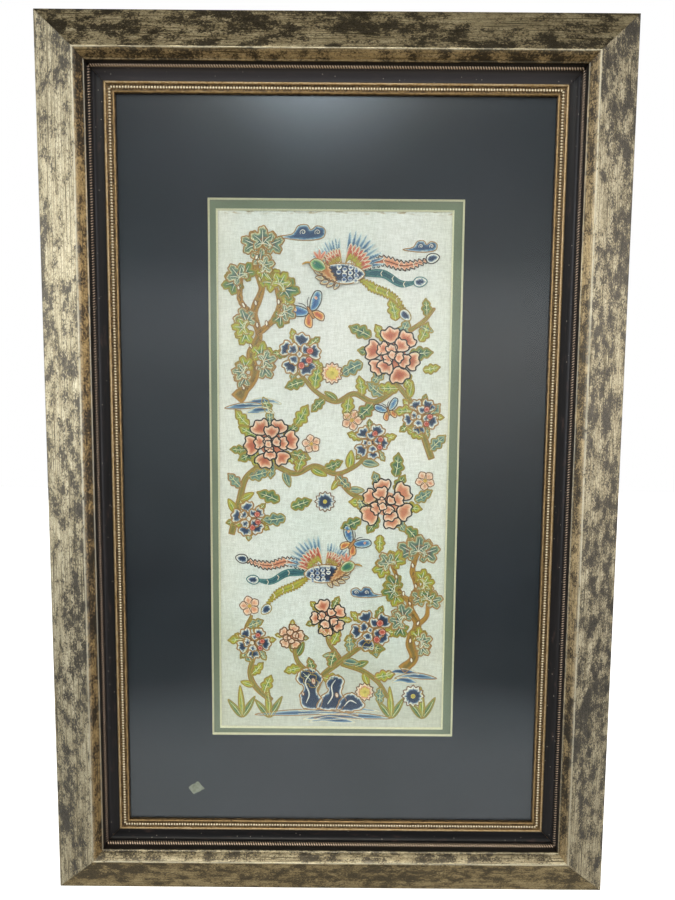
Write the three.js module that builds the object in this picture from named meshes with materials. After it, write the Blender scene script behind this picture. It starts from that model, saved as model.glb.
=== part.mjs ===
// A framed silk embroidery panel: a tall embroidered silk behind two window mats and glass, in a deep
// sloping outer frame of four mitred rails with a beaded inner frame of four mitred rails inside it.
// Millimetres. +X is right, +Z is up, and the panel faces -Y. The back of the outer frame is the plane
// y = 0, where it meets the wall, and the origin is on that back, in the middle of the top rail.

import * as THREE from 'three';

// Driving dimensions
const FRAME_WIDTH = 565;
const FRAME_HEIGHT = 870;
const GAP = 0.3;                    // clearance left between neighbouring pieces
const CURVE_STEPS = 6;              // straight steps in each curve of a moulding's section

// The outer moulding's section. An inset is measured from the frame's outer edge towards its middle,
// and a height from the wall towards the room.
const OUTER = {
  edgeHeight: 18,                   // plain outer side, from the wall to the start of the slope
  edgeEase: 1.2,                    // rounding of the corner between that side and the slope
  ridgeInset: 42.9,
  ridgeHeight: 39.8,
  ridgeRound: 0.9,                  // half width of the worn, rounded ridge
  footInset: 51.1,                  // where the inner bevel ends
  footHeight: 31.1,
  footBead: 1.1,                    // width of the fine raised line along the bevel's foot
  lipUnder: 24,                     // underside of the lip that holds the inner frame
  rabbetInset: 45,
};

// The inner moulding's section: a rope bead, a black cove, then a gold fillet, a bead course and a lip
const INNER = {
  backHeight: 2,
  flangeTop: 19.6,
  ropeInset: 50.2,
  ropeHeight: 21.8,
  ropeRadius: 1.7,
  shelfInset: 53.3,
  shelfHeight: 20.4,
  coveTurn: 1,                      // how far in from the shelf the cove's steep side bends flat
  coveInset: 63.1,
  coveHeight: 16.5,
  filletInset: 64.7,
  filletRadius: 1.2,
  beadInset: 69.1,
  beadRadius: 1.35,
  grooveHeight: 16.2,
  goldHeight: 16.8,                 // centre height of the gold half-rounds
  lipInset: 72.6,
  sightInset: 74.2,                 // inner edge of the whole frame
  lipTop: 17.7,
  lipUnder: 14.8,
  rabbetInset: 68.2,
};

// The flat sheets behind the lip, front to back. The cut windows sit a little off centre.
const GLASS_THICKNESS = 2;
const MAT_THICKNESS = 1.6;
const SILK_THICKNESS = 1.2;
const BOARD_THICKNESS = 3;
const BLACK_WINDOW = { width: 247, height: 537.6, x: 0.8, z: -2 };
const SAGE_WINDOW = { width: 229.8, height: 521.9, x: -0.3, z: -3.6 };
const SILK_MARGIN = 8;              // silk hidden behind the sage mat on each side

// The wall meets the middle of the top rail's back
const MOUNT_DROP = OUTER.rabbetInset / 2;

const finishes = {
  leaf: new THREE.MeshStandardMaterial({ color: 0x9a8d6c, roughness: 0.5, metalness: 0.35 }),
  liner: new THREE.MeshStandardMaterial({ color: 0x2e2a28, roughness: 0.55, metalness: 0.1 }),
  glass: new THREE.MeshStandardMaterial({
    color: 0xe8f0f0, roughness: 0.05, metalness: 0, transparent: true, opacity: 0.2,
  }),
  blackMat: new THREE.MeshStandardMaterial({ color: 0x35393b, roughness: 0.9, metalness: 0 }),
  sageMat: new THREE.MeshStandardMaterial({ color: 0x6d7e66, roughness: 0.9, metalness: 0 }),
  silk: new THREE.MeshStandardMaterial({ color: 0xcfd3bd, roughness: 0.6, metalness: 0 }),
  board: new THREE.MeshStandardMaterial({ color: 0x9c8464, roughness: 0.95, metalness: 0 }),
};

// Outer moulding, drawn with the inset along x and the height along y
function outerSection() {
  const s = OUTER;
  const section = new THREE.Shape();
  section.moveTo(0, 0);
  section.lineTo(s.rabbetInset, 0);
  section.lineTo(s.rabbetInset, s.lipUnder);
  section.lineTo(s.footInset, s.lipUnder);
  section.lineTo(s.footInset, s.footHeight - s.footBead / 2);
  section.quadraticCurveTo(
    s.footInset, s.footHeight + s.footBead / 2, s.footInset - s.footBead, s.footHeight + s.footBead / 2);
  section.lineTo(s.ridgeInset + s.ridgeRound, s.ridgeHeight - s.ridgeRound);
  section.quadraticCurveTo(
    s.ridgeInset, s.ridgeHeight + s.ridgeRound / 2, s.ridgeInset - s.ridgeRound, s.ridgeHeight - s.ridgeRound / 2);
  section.lineTo(s.edgeEase, s.edgeHeight + s.edgeEase / 2);
  section.quadraticCurveTo(0, s.edgeHeight, 0, s.edgeHeight - s.edgeEase);
  section.closePath();
  return section;
}

// A half round that stands on a section's top line, entered from the high-inset side
function halfRound(section, inset, height, radius, foot) {
  section.lineTo(inset + radius, foot);
  section.lineTo(inset + radius, height);
  section.absarc(inset, height, radius, 0, Math.PI, false);
  section.lineTo(inset - radius, foot);
}

// Inner moulding, from its back round by the lip to the rope bead under the outer lip
function innerSection() {
  const s = INNER;
  const section = new THREE.Shape();
  section.moveTo(OUTER.rabbetInset + GAP, s.backHeight);
  section.lineTo(s.rabbetInset, s.backHeight);
  section.lineTo(s.rabbetInset, s.lipUnder);
  section.lineTo(s.sightInset, s.lipUnder);
  section.quadraticCurveTo(s.sightInset, s.lipTop, s.lipInset, s.lipTop);
  section.lineTo(s.lipInset - GAP, s.grooveHeight);
  halfRound(section, s.beadInset, s.goldHeight, s.beadRadius, s.grooveHeight);
  halfRound(section, s.filletInset, s.goldHeight, s.filletRadius, s.grooveHeight);
  section.lineTo(s.coveInset, s.coveHeight);
  section.quadraticCurveTo(s.shelfInset + s.coveTurn, s.coveHeight, s.shelfInset, s.shelfHeight);
  halfRound(section, s.ropeInset, s.ropeHeight, s.ropeRadius, s.shelfHeight);
  section.lineTo(s.ropeInset - s.ropeRadius, s.flangeTop);
  section.lineTo(OUTER.rabbetInset + GAP, s.flangeTop);
  section.closePath();
  return section;
}

// Runs a section along a rail of the given outer length and cuts both ends to 45 degrees. The cut moves
// each end point inwards by its own inset, and by half of the gap between two rails.
function mitredRail(section, length) {
  const geometry = new THREE.ExtrudeGeometry(section, {
    depth: length, bevelEnabled: false, curveSegments: CURVE_STEPS,
  });
  const points = geometry.attributes.position;
  const halfGap = (GAP / 2) * Math.SQRT2;
  for (let i = 0; i < points.count; i += 1) {
    const cut = points.getX(i) + halfGap;
    const atStart = points.getZ(i) < length / 2;
    points.setZ(i, atStart ? cut : length - cut);
  }
  // inset points up, height points into the room, and the rail runs from left to right
  const insetAxis = new THREE.Vector3(0, 0, 1);
  const heightAxis = new THREE.Vector3(0, -1, 0);
  const lengthAxis = new THREE.Vector3(1, 0, 0);
  geometry.translate(0, 0, -length / 2);
  geometry.applyMatrix4(new THREE.Matrix4().makeBasis(insetAxis, heightAxis, lengthAxis));
  geometry.computeVertexNormals();
  return geometry;
}

// Four rails round the frame: each is the bottom rail turned about the frame's middle
const RAILS = [
  { side: 'bottom', turn: 0, length: FRAME_WIDTH, reach: FRAME_HEIGHT / 2 },
  { side: 'left', turn: Math.PI / 2, length: FRAME_HEIGHT, reach: FRAME_WIDTH / 2 },
  { side: 'top', turn: Math.PI, length: FRAME_WIDTH, reach: FRAME_HEIGHT / 2 },
  { side: 'right', turn: -Math.PI / 2, length: FRAME_HEIGHT, reach: FRAME_WIDTH / 2 },
];

function railSet(prefix, section, finish) {
  const set = new THREE.Group();
  for (const rail of RAILS) {
    const mesh = new THREE.Mesh(mitredRail(section, rail.length), finish);
    mesh.name = `${prefix}_${rail.side}`;
    mesh.position.z = -rail.reach;
    const turned = new THREE.Group();
    turned.rotation.y = rail.turn;
    turned.add(mesh);
    set.add(turned);
  }
  return set;
}

function rectangle(path, width, height, x, z) {
  path.moveTo(x - width / 2, z - height / 2);
  path.lineTo(x + width / 2, z - height / 2);
  path.lineTo(x + width / 2, z + height / 2);
  path.lineTo(x - width / 2, z + height / 2);
  path.closePath();
  return path;
}

// A flat sheet, given by its size, its thickness and the height of its back above the wall
function sheet(name, size, thickness, backHeight, finish, window = null) {
  const outline = rectangle(new THREE.Shape(), size.width, size.height, size.x, size.z);
  if (window) {
    const inner = {
      width: window.width - 2 * thickness,
      height: window.height - 2 * thickness,
    };
    outline.holes.push(rectangle(new THREE.Path(), inner.width, inner.height, window.x, window.z));
  }
  const geometry = new THREE.ExtrudeGeometry(outline, { depth: thickness, bevelEnabled: false });
  if (window) bevelWindow(geometry, window, thickness);
  const mesh = new THREE.Mesh(geometry, finish);
  mesh.name = name;
  mesh.rotation.x = Math.PI / 2;
  mesh.position.y = -backHeight;
  return mesh;
}

// A mat cutter's 45 degree bevel: the window is wider at the mat's front by its thickness on each side
function bevelWindow(geometry, window, thickness) {
  const points = geometry.attributes.position;
  for (let i = 0; i < points.count; i += 1) {
    const dx = points.getX(i) - window.x;
    const dz = points.getY(i) - window.z;
    const onWindow = Math.abs(dx) < window.width / 2 && Math.abs(dz) < window.height / 2;
    const inFront = points.getZ(i) > thickness / 2;
    if (onWindow && inFront) {
      points.setX(i, points.getX(i) + Math.sign(dx) * thickness);
      points.setY(i, points.getY(i) + Math.sign(dz) * thickness);
    }
  }
  geometry.computeVertexNormals();
}

// The stack behind the inner frame's lip, each sheet a gap behind the one before it
function sheetStack() {
  const stack = new THREE.Group();
  const fitted = {
    width: FRAME_WIDTH - 2 * (INNER.rabbetInset + GAP),
    height: FRAME_HEIGHT - 2 * (INNER.rabbetInset + GAP),
    x: 0,
    z: 0,
  };
  const silk = {
    width: SAGE_WINDOW.width - 2 * MAT_THICKNESS + 2 * SILK_MARGIN,
    height: SAGE_WINDOW.height - 2 * MAT_THICKNESS + 2 * SILK_MARGIN,
    x: SAGE_WINDOW.x,
    z: SAGE_WINDOW.z,
  };
  const layers = [
    { name: 'glass_sheet', size: fitted, thickness: GLASS_THICKNESS, finish: finishes.glass },
    {
      name: 'black_mat', size: fitted, thickness: MAT_THICKNESS, finish: finishes.blackMat,
      window: BLACK_WINDOW,
    },
    {
      name: 'sage_mat', size: fitted, thickness: MAT_THICKNESS, finish: finishes.sageMat,
      window: SAGE_WINDOW,
    },
    { name: 'silk_panel', size: silk, thickness: SILK_THICKNESS, finish: finishes.silk },
    { name: 'back_board', size: fitted, thickness: BOARD_THICKNESS, finish: finishes.board },
  ];
  let front = INNER.lipUnder;
  for (const layer of layers) {
    const back = front - GAP - layer.thickness;
    stack.add(sheet(layer.name, layer.size, layer.thickness, back, layer.finish, layer.window));
    front = back;
  }
  return stack;
}

const panel = new THREE.Group();
panel.name = 'framed_silk_embroidery_panel';
panel.position.z = MOUNT_DROP - FRAME_HEIGHT / 2;
panel.add(railSet('outer_rail', outerSection(), finishes.leaf));
panel.add(railSet('inner_rail', innerSection(), finishes.liner));
panel.add(sheetStack());

export default panel;
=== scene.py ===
# %% [markdown]
# # A framed silk embroidery
# The object is a tall embroidered silk behind glass: a deep outer frame of rubbed metal leaf, a narrow
# black and gold inner frame, a black window mat, a sage window mat, and the silk itself. The frame's
# measured solids are loaded first, and every piece made here is placed from them, in metres, with +Z up
# and the picture facing -Y.

# %% Load the measured frame
import math
import random

import bpy
import numpy as np
from mathutils import Matrix, Vector, noise


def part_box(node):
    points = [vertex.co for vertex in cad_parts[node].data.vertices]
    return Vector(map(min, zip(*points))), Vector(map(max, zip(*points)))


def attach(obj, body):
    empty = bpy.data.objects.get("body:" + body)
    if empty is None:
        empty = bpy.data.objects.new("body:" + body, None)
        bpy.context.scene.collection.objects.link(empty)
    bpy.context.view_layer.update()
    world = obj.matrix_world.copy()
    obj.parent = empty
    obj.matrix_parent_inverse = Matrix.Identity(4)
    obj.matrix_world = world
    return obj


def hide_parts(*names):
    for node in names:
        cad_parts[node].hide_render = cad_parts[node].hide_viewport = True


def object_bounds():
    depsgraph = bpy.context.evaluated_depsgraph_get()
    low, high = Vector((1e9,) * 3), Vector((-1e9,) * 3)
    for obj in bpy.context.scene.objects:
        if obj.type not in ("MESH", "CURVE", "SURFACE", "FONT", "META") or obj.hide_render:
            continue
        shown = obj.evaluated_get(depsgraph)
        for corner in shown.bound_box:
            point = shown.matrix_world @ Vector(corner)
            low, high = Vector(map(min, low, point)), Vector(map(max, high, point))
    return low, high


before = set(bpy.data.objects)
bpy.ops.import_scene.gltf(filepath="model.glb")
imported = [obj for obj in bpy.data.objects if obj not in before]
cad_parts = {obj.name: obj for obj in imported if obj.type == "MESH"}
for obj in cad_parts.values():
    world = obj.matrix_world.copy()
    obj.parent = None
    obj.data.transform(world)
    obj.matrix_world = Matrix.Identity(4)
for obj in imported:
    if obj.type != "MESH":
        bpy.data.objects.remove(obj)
cad_low, cad_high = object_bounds()
MM = 0.001
middle = (cad_low + cad_high) / 2
print("frame box in mm", [round(v / MM, 1) for v in (*cad_low, *cad_high)])

# %% [markdown]
# ## Camera
# The photograph was taken from a little above the middle of the picture, about two thirds of a metre away,
# with a phone's wide lens tipped down and turned a hair to the left. The distances are real ones, from
# the plane of the frame's outer edge, so the near edges spread as they do in the photograph.

# %% Camera
IMAGE_TALL_PX = 900
FOCAL_PX = 680
SENSOR_MM = 36
EDGE_HEIGHT = 18            # mm from the wall to the front of the frame's plain outer side
CAMERA_RIGHT = 3.8          # mm right of the middle
CAMERA_UP = 86.6            # mm above the middle
CAMERA_AWAY = 666.1         # mm in front of the outer edge's plane
CAMERA_TIP = math.radians(5.26)
CAMERA_ROLL = math.radians(0.46)

lens = bpy.data.cameras.new("photo_lens")
lens.sensor_width = SENSOR_MM
lens.lens = FOCAL_PX / IMAGE_TALL_PX * SENSOR_MM
camera = bpy.data.objects.new("photo_camera", lens)
bpy.context.scene.collection.objects.link(camera)
right = Vector((1, 0, 0))
up = Vector((0, math.sin(CAMERA_TIP), math.cos(CAMERA_TIP)))
back = right.cross(up)
turned_right = right * math.cos(CAMERA_ROLL) + up * math.sin(CAMERA_ROLL)
turned_up = up * math.cos(CAMERA_ROLL) - right * math.sin(CAMERA_ROLL)
camera.matrix_world = Matrix((turned_right, turned_up, back)).transposed().to_4x4()
camera.location = middle + Vector((CAMERA_RIGHT, 0, CAMERA_UP)) * MM
camera.location.y = -(EDGE_HEIGHT + CAMERA_AWAY) * MM
bpy.context.scene.camera = camera
bpy.context.scene.view_settings.view_transform = "Standard"
print("camera at", [round(v, 3) for v in camera.location], "lens", round(lens.lens, 1), "mm")

# %% [markdown]
# ## Small helpers
# Colours are written as the sRGB hex a painter would pick and turned to linear light in one place. A
# single function adds a shader node, sets it and wires it. Another turns arrays of points and faces into
# a piece that rides on the frame.

# %% Colour, node and piece helpers
def linear(hex_colour):
    """An sRGB hex colour as linear red, green, blue and alpha."""
    parts = [int(hex_colour[i:i + 2], 16) / 255 for i in (1, 3, 5)]
    return tuple(p / 12.92 if p <= 0.04045 else ((p + 0.055) / 1.055) ** 2.4 for p in parts) + (1.0,)


def add(tree, kind, *inputs, out=0, stops=(), **settings):
    """Adds a shader node with its settings and gives one of its outputs. Inputs fill the node's sockets
    in order, or by name in a dict, from plain values, hex colours or other outputs."""
    node = tree.nodes.new("ShaderNode" + kind)
    for name, value in settings.items():
        setattr(node, name, value)
    for spare in list(node.color_ramp.elements)[1:] if stops else ():
        node.color_ramp.elements.remove(spare)
    for index, (position, hex_colour) in enumerate(stops):
        stop = node.color_ramp.elements.new(position) if index else node.color_ramp.elements[0]
        stop.position, stop.color = position, linear(hex_colour)
    named = {}
    for index, value in enumerate(inputs):
        named.update(value if isinstance(value, dict) else {index: value})
    open_sockets = [socket for socket in node.inputs if socket.enabled]
    for name, value in named.items():
        socket = open_sockets[name] if isinstance(name, int) else node.inputs[name]
        if isinstance(value, bpy.types.NodeSocket):
            tree.links.new(value, socket)
        else:
            socket.default_value = linear(value) if isinstance(value, str) else value
    return [socket for socket in node.outputs if socket.enabled][out]


def new_finish(name, **sockets):
    """A named material, its node tree and its shader, with the shader's plain values set."""
    material = bpy.data.materials.new(name)
    material.use_nodes = True
    shader = material.node_tree.nodes["Principled BSDF"]
    for socket, value in sockets.items():
        value = linear(value) if isinstance(value, str) else value
        shader.inputs[socket.replace("_", " ")].default_value = value
    return material, material.node_tree, shader


def new_piece(name, points, faces, materials, slots=None, smooth=True, vectors=None, colours=None,
              crease=0):
    """A mesh piece from points in metres, riding on the frame. Slots gives each face's material, and
    crease the angle in degrees from which an edge is drawn sharp."""
    mesh = bpy.data.meshes.new(name)
    mesh.from_pydata(np.asarray(points, float).tolist(), [], faces)
    for material in materials:
        mesh.materials.append(material)
    if slots is not None:
        mesh.polygons.foreach_set("material_index", np.asarray(slots, np.int32))
    mesh.polygons.foreach_set("use_smooth", np.full(len(mesh.polygons), smooth))
    for label, values in (vectors or {}).items():
        layer = mesh.attributes.new(label, "FLOAT_VECTOR", "POINT")
        layer.data.foreach_set("vector", np.asarray(values, np.float32).ravel())
    if colours is not None:
        layer = mesh.attributes.new("thread", "FLOAT_COLOR", "POINT")
        layer.data.foreach_set("color", np.asarray(colours, np.float32).ravel())
    mesh.update()
    if crease:
        mesh.set_sharp_from_angle(angle=math.radians(crease))
    piece = bpy.data.objects.new(name, mesh)
    bpy.context.scene.collection.objects.link(piece)
    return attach(piece, "root")


print("helpers ready, mid grey is", round(linear("#808080")[0], 3), "in linear light")

# %% [markdown]
# ## Rails
# A frame maker runs a moulding along a length and cuts both ends to 45 degrees. Here a section is a list
# of points, each an inset from the outer edge and a height off the wall, and a rail is that section
# repeated along its length, with every row drawn in by its own inset at the mitres. All four rails are
# the same code turned to another side.

# %% Where each rail runs
HALF_WIDTH = (cad_high.x - cad_low.x) / 2 / MM
HALF_HEIGHT = (cad_high.z - cad_low.z) / 2 / MM
SIDES = {
    # side: direction along, direction inwards, half length and reach of the outer edge in mm, and a shift
    # of the pattern so that no two rails have the same wear
    "bottom": ((1, 0, 0), (0, 0, 1), HALF_WIDTH, HALF_HEIGHT, 11.0),
    "left": ((0, 0, -1), (1, 0, 0), HALF_HEIGHT, HALF_WIDTH, 47.0),
    "top": ((-1, 0, 0), (0, 0, -1), HALF_WIDTH, HALF_HEIGHT, 83.0),
    "right": ((0, 0, 1), (-1, 0, 0), HALF_HEIGHT, HALF_WIDTH, 129.0),
}


def on_rail(side, along, inset, height):
    """Points in metres for places along a side, at an inset and a height, all in mm."""
    run, inward, _, reach, _ = SIDES[side]
    along, inset, height = np.broadcast_arrays(along, inset, height)
    spots = np.outer(along.ravel(), run) + np.outer(inset.ravel() - reach, inward)
    spots[:, 1] -= height.ravel()
    return (spots + np.array([middle.x, 0, middle.z]) / MM) * MM


def fine_section(corners, longest):
    """Splits the stretches between section corners so that none is longer than the given step."""
    section = []
    for (inset, height, zone), (next_inset, next_height, _) in zip(corners, corners[1:]):
        pieces = max(1, math.ceil(math.hypot(next_inset - inset, next_height - height) / longest))
        for k in range(pieces):
            t = k / pieces
            section.append((inset + t * (next_inset - inset), height + t * (next_height - height), zone))
    return section + [corners[-1]]


def sweep_faces(rows, width, zones, turned):
    """Quads between rows of points round a closed section, and a cap at each end."""
    faces, labels = [], []
    for row in range(rows - 1):
        for i in range(width):
            j = (i + 1) % width
            quad = (row * width + i, row * width + j, (row + 1) * width + j, (row + 1) * width + i)
            faces.append(quad if turned else quad[::-1])
            labels.append(zones[i])
    first, last = tuple(range(width)), tuple((rows - 1) * width + i for i in range(width))
    faces += [first[::-1], last] if turned else [first, last[::-1]]
    return faces, labels + ["raw", "raw"]


def run_rail(side, section, step, gap, wander=None):
    """Sweeps a closed section along a side, with a share of the open line at each mitre, in mm."""
    half_length = SIDES[side][2]
    rows = round(2 * half_length / step) + 1
    inset = np.array([p[0] for p in section])
    height = np.array([p[1] for p in section])
    area = np.sum(inset * np.roll(height, -1) - np.roll(inset, -1) * height)
    along = np.linspace(-1, 1, rows)[:, None] * (half_length - inset - gap)[None, :]
    insets = np.broadcast_to(inset, along.shape)
    heights = np.broadcast_to(height, along.shape)
    if wander is not None:
        heights = heights + wander(along, insets)
    arc = np.cumsum(np.hypot(np.diff(inset, prepend=inset[:1]), np.diff(height, prepend=height[:1])))
    shift = np.full(along.size, SIDES[side][4])
    places = np.stack([along.ravel(), np.tile(arc, rows), shift], 1)
    faces, labels = sweep_faces(rows, len(section), [p[2] for p in section], area > 0)
    return on_rail(side, along, insets, heights), faces, labels, places


print("rails reach", round(HALF_WIDTH, 1), "and", round(HALF_HEIGHT, 1), "mm from the middle")

# %% [markdown]
# ## Rubbed leaf
# The outer frame is wood with silver-gold leaf laid over dark grey clay, then rubbed through in patches.
# Leaf is a thin, slightly crumpled metal, so it gives soft wide reflections, and the burnished clay under
# it is smoother and darker. One noise makes the patches, a very fine one frays their edges and pricks the
# leaf, a third stretched along the rail makes the combed lines, and where a fourth crosses its middle value
# it leaves hair cracks. The short bevel is painted darker brown in patches as painted shade, more on some
# rails than on others and not at all on the bottom one, which faces up. Handling has polished the ridge.
# The ridge and the fine line at the bevel's foot are also painted paler as a painted highlight, again more
# on some rails than on others.

# %% Leaf over clay
LEAF_GRAINS = (
    # length along the rail and width across it in mm, detail, roughness
    ((17.0, 11.0), 5.0, 0.62),      # rubbed patches
    ((160, 70), 2.0, 0.5),          # slow drift between much and little wear
    ((70.0, 1.0), 3.0, 0.7),        # combed lines, drawn a little coarser than real so that they show
    ((2.2, 1.7), 4.0, 0.8),         # specks
    ((7.0, 4.5), 5.0, 0.7),         # crumples and hair cracks
)
LEAF_RAMP = ((0.34, "#93866A"), (0.50, "#BFB292"), (0.66, "#DCD3B6"))
CLAY_RAMP = ((0.40, "#3E3931"), (0.66, "#6E675A"))
BEVEL_SHADE_RAMP = ((0.05, "#A88E60"), (0.45, "#866E4A"), (0.65, "#5C4B34"), (0.95, "#332C22"))


def per_mm(*sizes):
    """The scale that gives a noise grains of these sizes in mm, with the third axis kept for the rail."""
    return tuple(1 / size for size in sizes) + (0.1,)


rubbed_leaf, tree, shader = new_finish("leaf_rubbed_over_clay")
place = add(tree, "Attribute", attribute_name="place", out=1)
# The band attribute carries the ridge's polish and painted highlight, the bevel's painted shade and the
# foot's painted highlight.
band = add(tree, "Attribute", attribute_name="band", out=1)
ridge = add(tree, "SeparateXYZ", band)
bevel, foot = ridge.node.outputs[1], ridge.node.outputs[2]
grains = []
for grain_mm, detail, roughness in LEAF_GRAINS:
    spread = add(tree, "VectorMath", place, per_mm(*grain_mm), operation="MULTIPLY")
    grains.append(add(tree, "TexNoise", spread, 1.0, detail, roughness))
patches, drift, comb, specks, crumple = grains

# %% How worn each spot is
wear = add(tree, "Math", drift, 0.5, patches, operation="MULTIPLY_ADD")
wear = add(tree, "Math", specks, 0.95, wear, operation="MULTIPLY_ADD")
wear = add(tree, "Math", comb, 0.40, wear, operation="MULTIPLY_ADD")
ragged = add(tree, "MapRange", crumple, 0.33, 0.50, interpolation_type="SMOOTHSTEP")
# The ridge's polish spares it a little wear and also sets its painted highlight.
polish_and_highlight = add(tree, "Math", ridge, ragged, operation="MULTIPLY")
wear = add(tree, "Math", polish_and_highlight, -0.3, wear, operation="MULTIPLY_ADD")
bare = add(tree, "MapRange", wear, 1.435, 1.475, interpolation_type="SMOOTHSTEP")
thin = add(tree, "MapRange", wear, 1.31, 1.435, 0.0, 0.5)
crack = add(tree, "Math", add(tree, "Math", crumple, 0.5, operation="SUBTRACT"), operation="ABSOLUTE")
crack = add(tree, "MapRange", crack, 0.004, 0.022, 0.6, 0.0)
holes = add(tree, "MapRange", specks, 0.59, 0.645, 0.0, 0.8)
lines = add(tree, "MapRange", comb, 0.43, 0.375, 0.0, 0.82)
marks = add(tree, "Math", add(tree, "Math", crack, holes, operation="MAXIMUM"), lines, operation="MAXIMUM")
print("leaf grains in mm", [grain[0] for grain in LEAF_GRAINS])

# %% Colour and relief of the leaf
leaf = add(tree, "Mix", thin, add(tree, "ValToRGB", comb, stops=LEAF_RAMP), "#7C6C48", data_type="RGBA")
clay = add(tree, "ValToRGB", specks, stops=CLAY_RAMP)
colour = add(tree, "Mix", bare, leaf, clay, data_type="RGBA")
# Painted shade on the bevel: darker browns that follow the wear, set by each rail's weight.
tone = add(tree, "ValToRGB", add(tree, "MapRange", wear, 1.25, 1.56), stops=BEVEL_SHADE_RAMP)
colour = add(tree, "Mix", bevel, colour, tone, data_type="RGBA")
colour = add(tree, "Mix", marks, colour, "#35322A", data_type="RGBA")
# Painted highlight on the ridge and the bevel's foot: mixed toward pale cream by each rail's weight.
bright = add(tree, "Math", add(tree, "Math", polish_and_highlight, foot), 0.65, operation="MULTIPLY")
colour = add(tree, "Mix", bright, colour, "#D6CFB8", data_type="RGBA")
tree.links.new(colour, shader.inputs["Base Color"])
tree.links.new(add(tree, "MapRange", bare, 0.0, 1.0, 0.98, 0.90), shader.inputs["Metallic"])
dull = add(tree, "Math", comb, 0.20, 0.36, operation="MULTIPLY_ADD")
tree.links.new(add(tree, "Math", bare, -0.15, dull, operation="MULTIPLY_ADD"), shader.inputs["Roughness"])
relief = add(tree, "Math", bare, -0.25, comb, operation="MULTIPLY_ADD")
relief = add(tree, "Math", marks, -0.4, relief, operation="MULTIPLY_ADD")
relief = add(tree, "Math", crumple, 0.5, relief, operation="MULTIPLY_ADD")
tree.links.new(add(tree, "Bump", 0.45, 0.25 * MM, {"Height": relief}), shader.inputs["Normal"])
print(rubbed_leaf.name, "has", len(tree.nodes), "nodes")

# %% [markdown]
# ## Outer rails
# The sweep keeps the measured section: a plain side, a long slope, a worn ridge, a short bevel and a fine
# line at its foot. Knocks lower the ridge a little here and there. Each point also carries how much it
# belongs to the ridge, the bevel and the foot, which the leaf reads to change from band to band. The
# underside of the lip isn't leafed but painted near black as painted shade under the overhang, and the
# stained wood behind it isn't leafed either.

# %% Section and knocks
SECTION_STEP = 3.0          # mm, the longest stretch between two points of a section
RIDGE_INSET = 42.9
KNOCKS = 60
outer_corners = [
    (0, 0, "side"), (0, 17.0, "side"), (0.12, 17.7, "ease"), (0.5, 18.2, "ease"), (1.2, 18.6, "face"),
    (41.2, 38.75, "face"), (42.0, 39.2, "ridge"), (42.5, 39.5, "ridge"), (42.95, 39.55, "ridge"),
    (43.4, 39.3, "ridge"), (43.8, 38.9, "bevel"), (49.6, 32.7, "bevel"), (50.0, 32.0, "foot"),
    (50.25, 31.9, "foot"), (50.7, 31.7, "foot"), (51.0, 31.3, "foot"), (51.1, 30.6, "under"),
    (51.1, 24, "raw"), (45, 24, "raw"), (45, 0, "raw"),
]
outer_section = fine_section(outer_corners, SECTION_STEP)
chances = random.Random(7)
knocks = [(chances.uniform(-400, 400), chances.uniform(0.1, 0.35), chances.uniform(3, 9))
          for _ in range(KNOCKS)]


def worn_ridge(along, inset):
    """Lowers the ridge a little here and there, as rubbing and knocks do, in mm."""
    near = np.exp(-((inset - RIDGE_INSET) / 0.9) ** 2)
    drop = 0.10 * (1 + np.sin(along * 0.11)) * near
    for spot, depth, length in knocks:
        drop = drop + depth * near * np.exp(-((along - spot) / length) ** 2)
    return -drop


print("outer section of", len(outer_section), "points,", len(knocks), "knocks")

# %% Wear, painted highlight and painted shade of each rail
# Per rail: the ridge's polish and painted highlight, face wear, the bevel's painted shade and the foot's
# painted highlight.
RIDGE_POLISH_AND_HIGHLIGHT = {"left": 1.0, "top": 0.5, "right": 0.95, "bottom": 0.85}
FACE_WEAR = {"left": 0.0, "top": 0.12, "right": 0.04, "bottom": 0.28}
BEVEL_SHADE = {"left": 1.0, "top": 0.7, "right": 0.75, "bottom": 0.0}
FOOT_HIGHLIGHT = {"left": 0.8, "top": 0.1, "right": 0.5, "bottom": 0.2}
FOOT_INSET = 50.6
SLOPE_LOW = 25              # mm, lower points of the section have no band of their own


def band_weights(inset, height, side):
    """How far a point of the section gets the ridge's polish and painted highlight, the bevel's painted
    shade and the foot's painted highlight.
    """
    if height < SLOPE_LOW:
        return 0, 0, 0
    near = math.exp(-((inset - RIDGE_INSET) / 0.75) ** 2)
    bevel_shade = BEVEL_SHADE[side] * min(1, max(0, (inset - RIDGE_INSET - 0.2) / 0.8))
    on_ridge = RIDGE_POLISH_AND_HIGHLIGHT[side] * near - FACE_WEAR[side] * (1 - near) * (inset < RIDGE_INSET)
    return on_ridge, bevel_shade, FOOT_HIGHLIGHT[side] * math.exp(-((inset - FOOT_INSET) / 0.45) ** 2)


print("top of the ridge weighs", band_weights(RIDGE_INSET, 39.5, "left"))

# %% Wood that the leaf doesn't cover, and the painted shade under the lip
raw_wood, tree, shader = new_finish("raw_pine_stained_back", Roughness=0.8)
place = add(tree, "Attribute", attribute_name="place", out=1)
spread = add(tree, "VectorMath", place, per_mm(60, 1.6), operation="MULTIPLY")
grain = add(tree, "TexNoise", spread, 1.0, 6.0, 0.65, {"Distortion": 0.4})
colour = add(tree, "ValToRGB", grain, stops=((0.35, "#8C6A45"), (0.65, "#B8935F")))
tree.links.new(colour, shader.inputs["Base Color"])
tree.links.new(add(tree, "Bump", 0.3, 0.3 * MM, {"Height": grain}), shader.inputs["Normal"])

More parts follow.
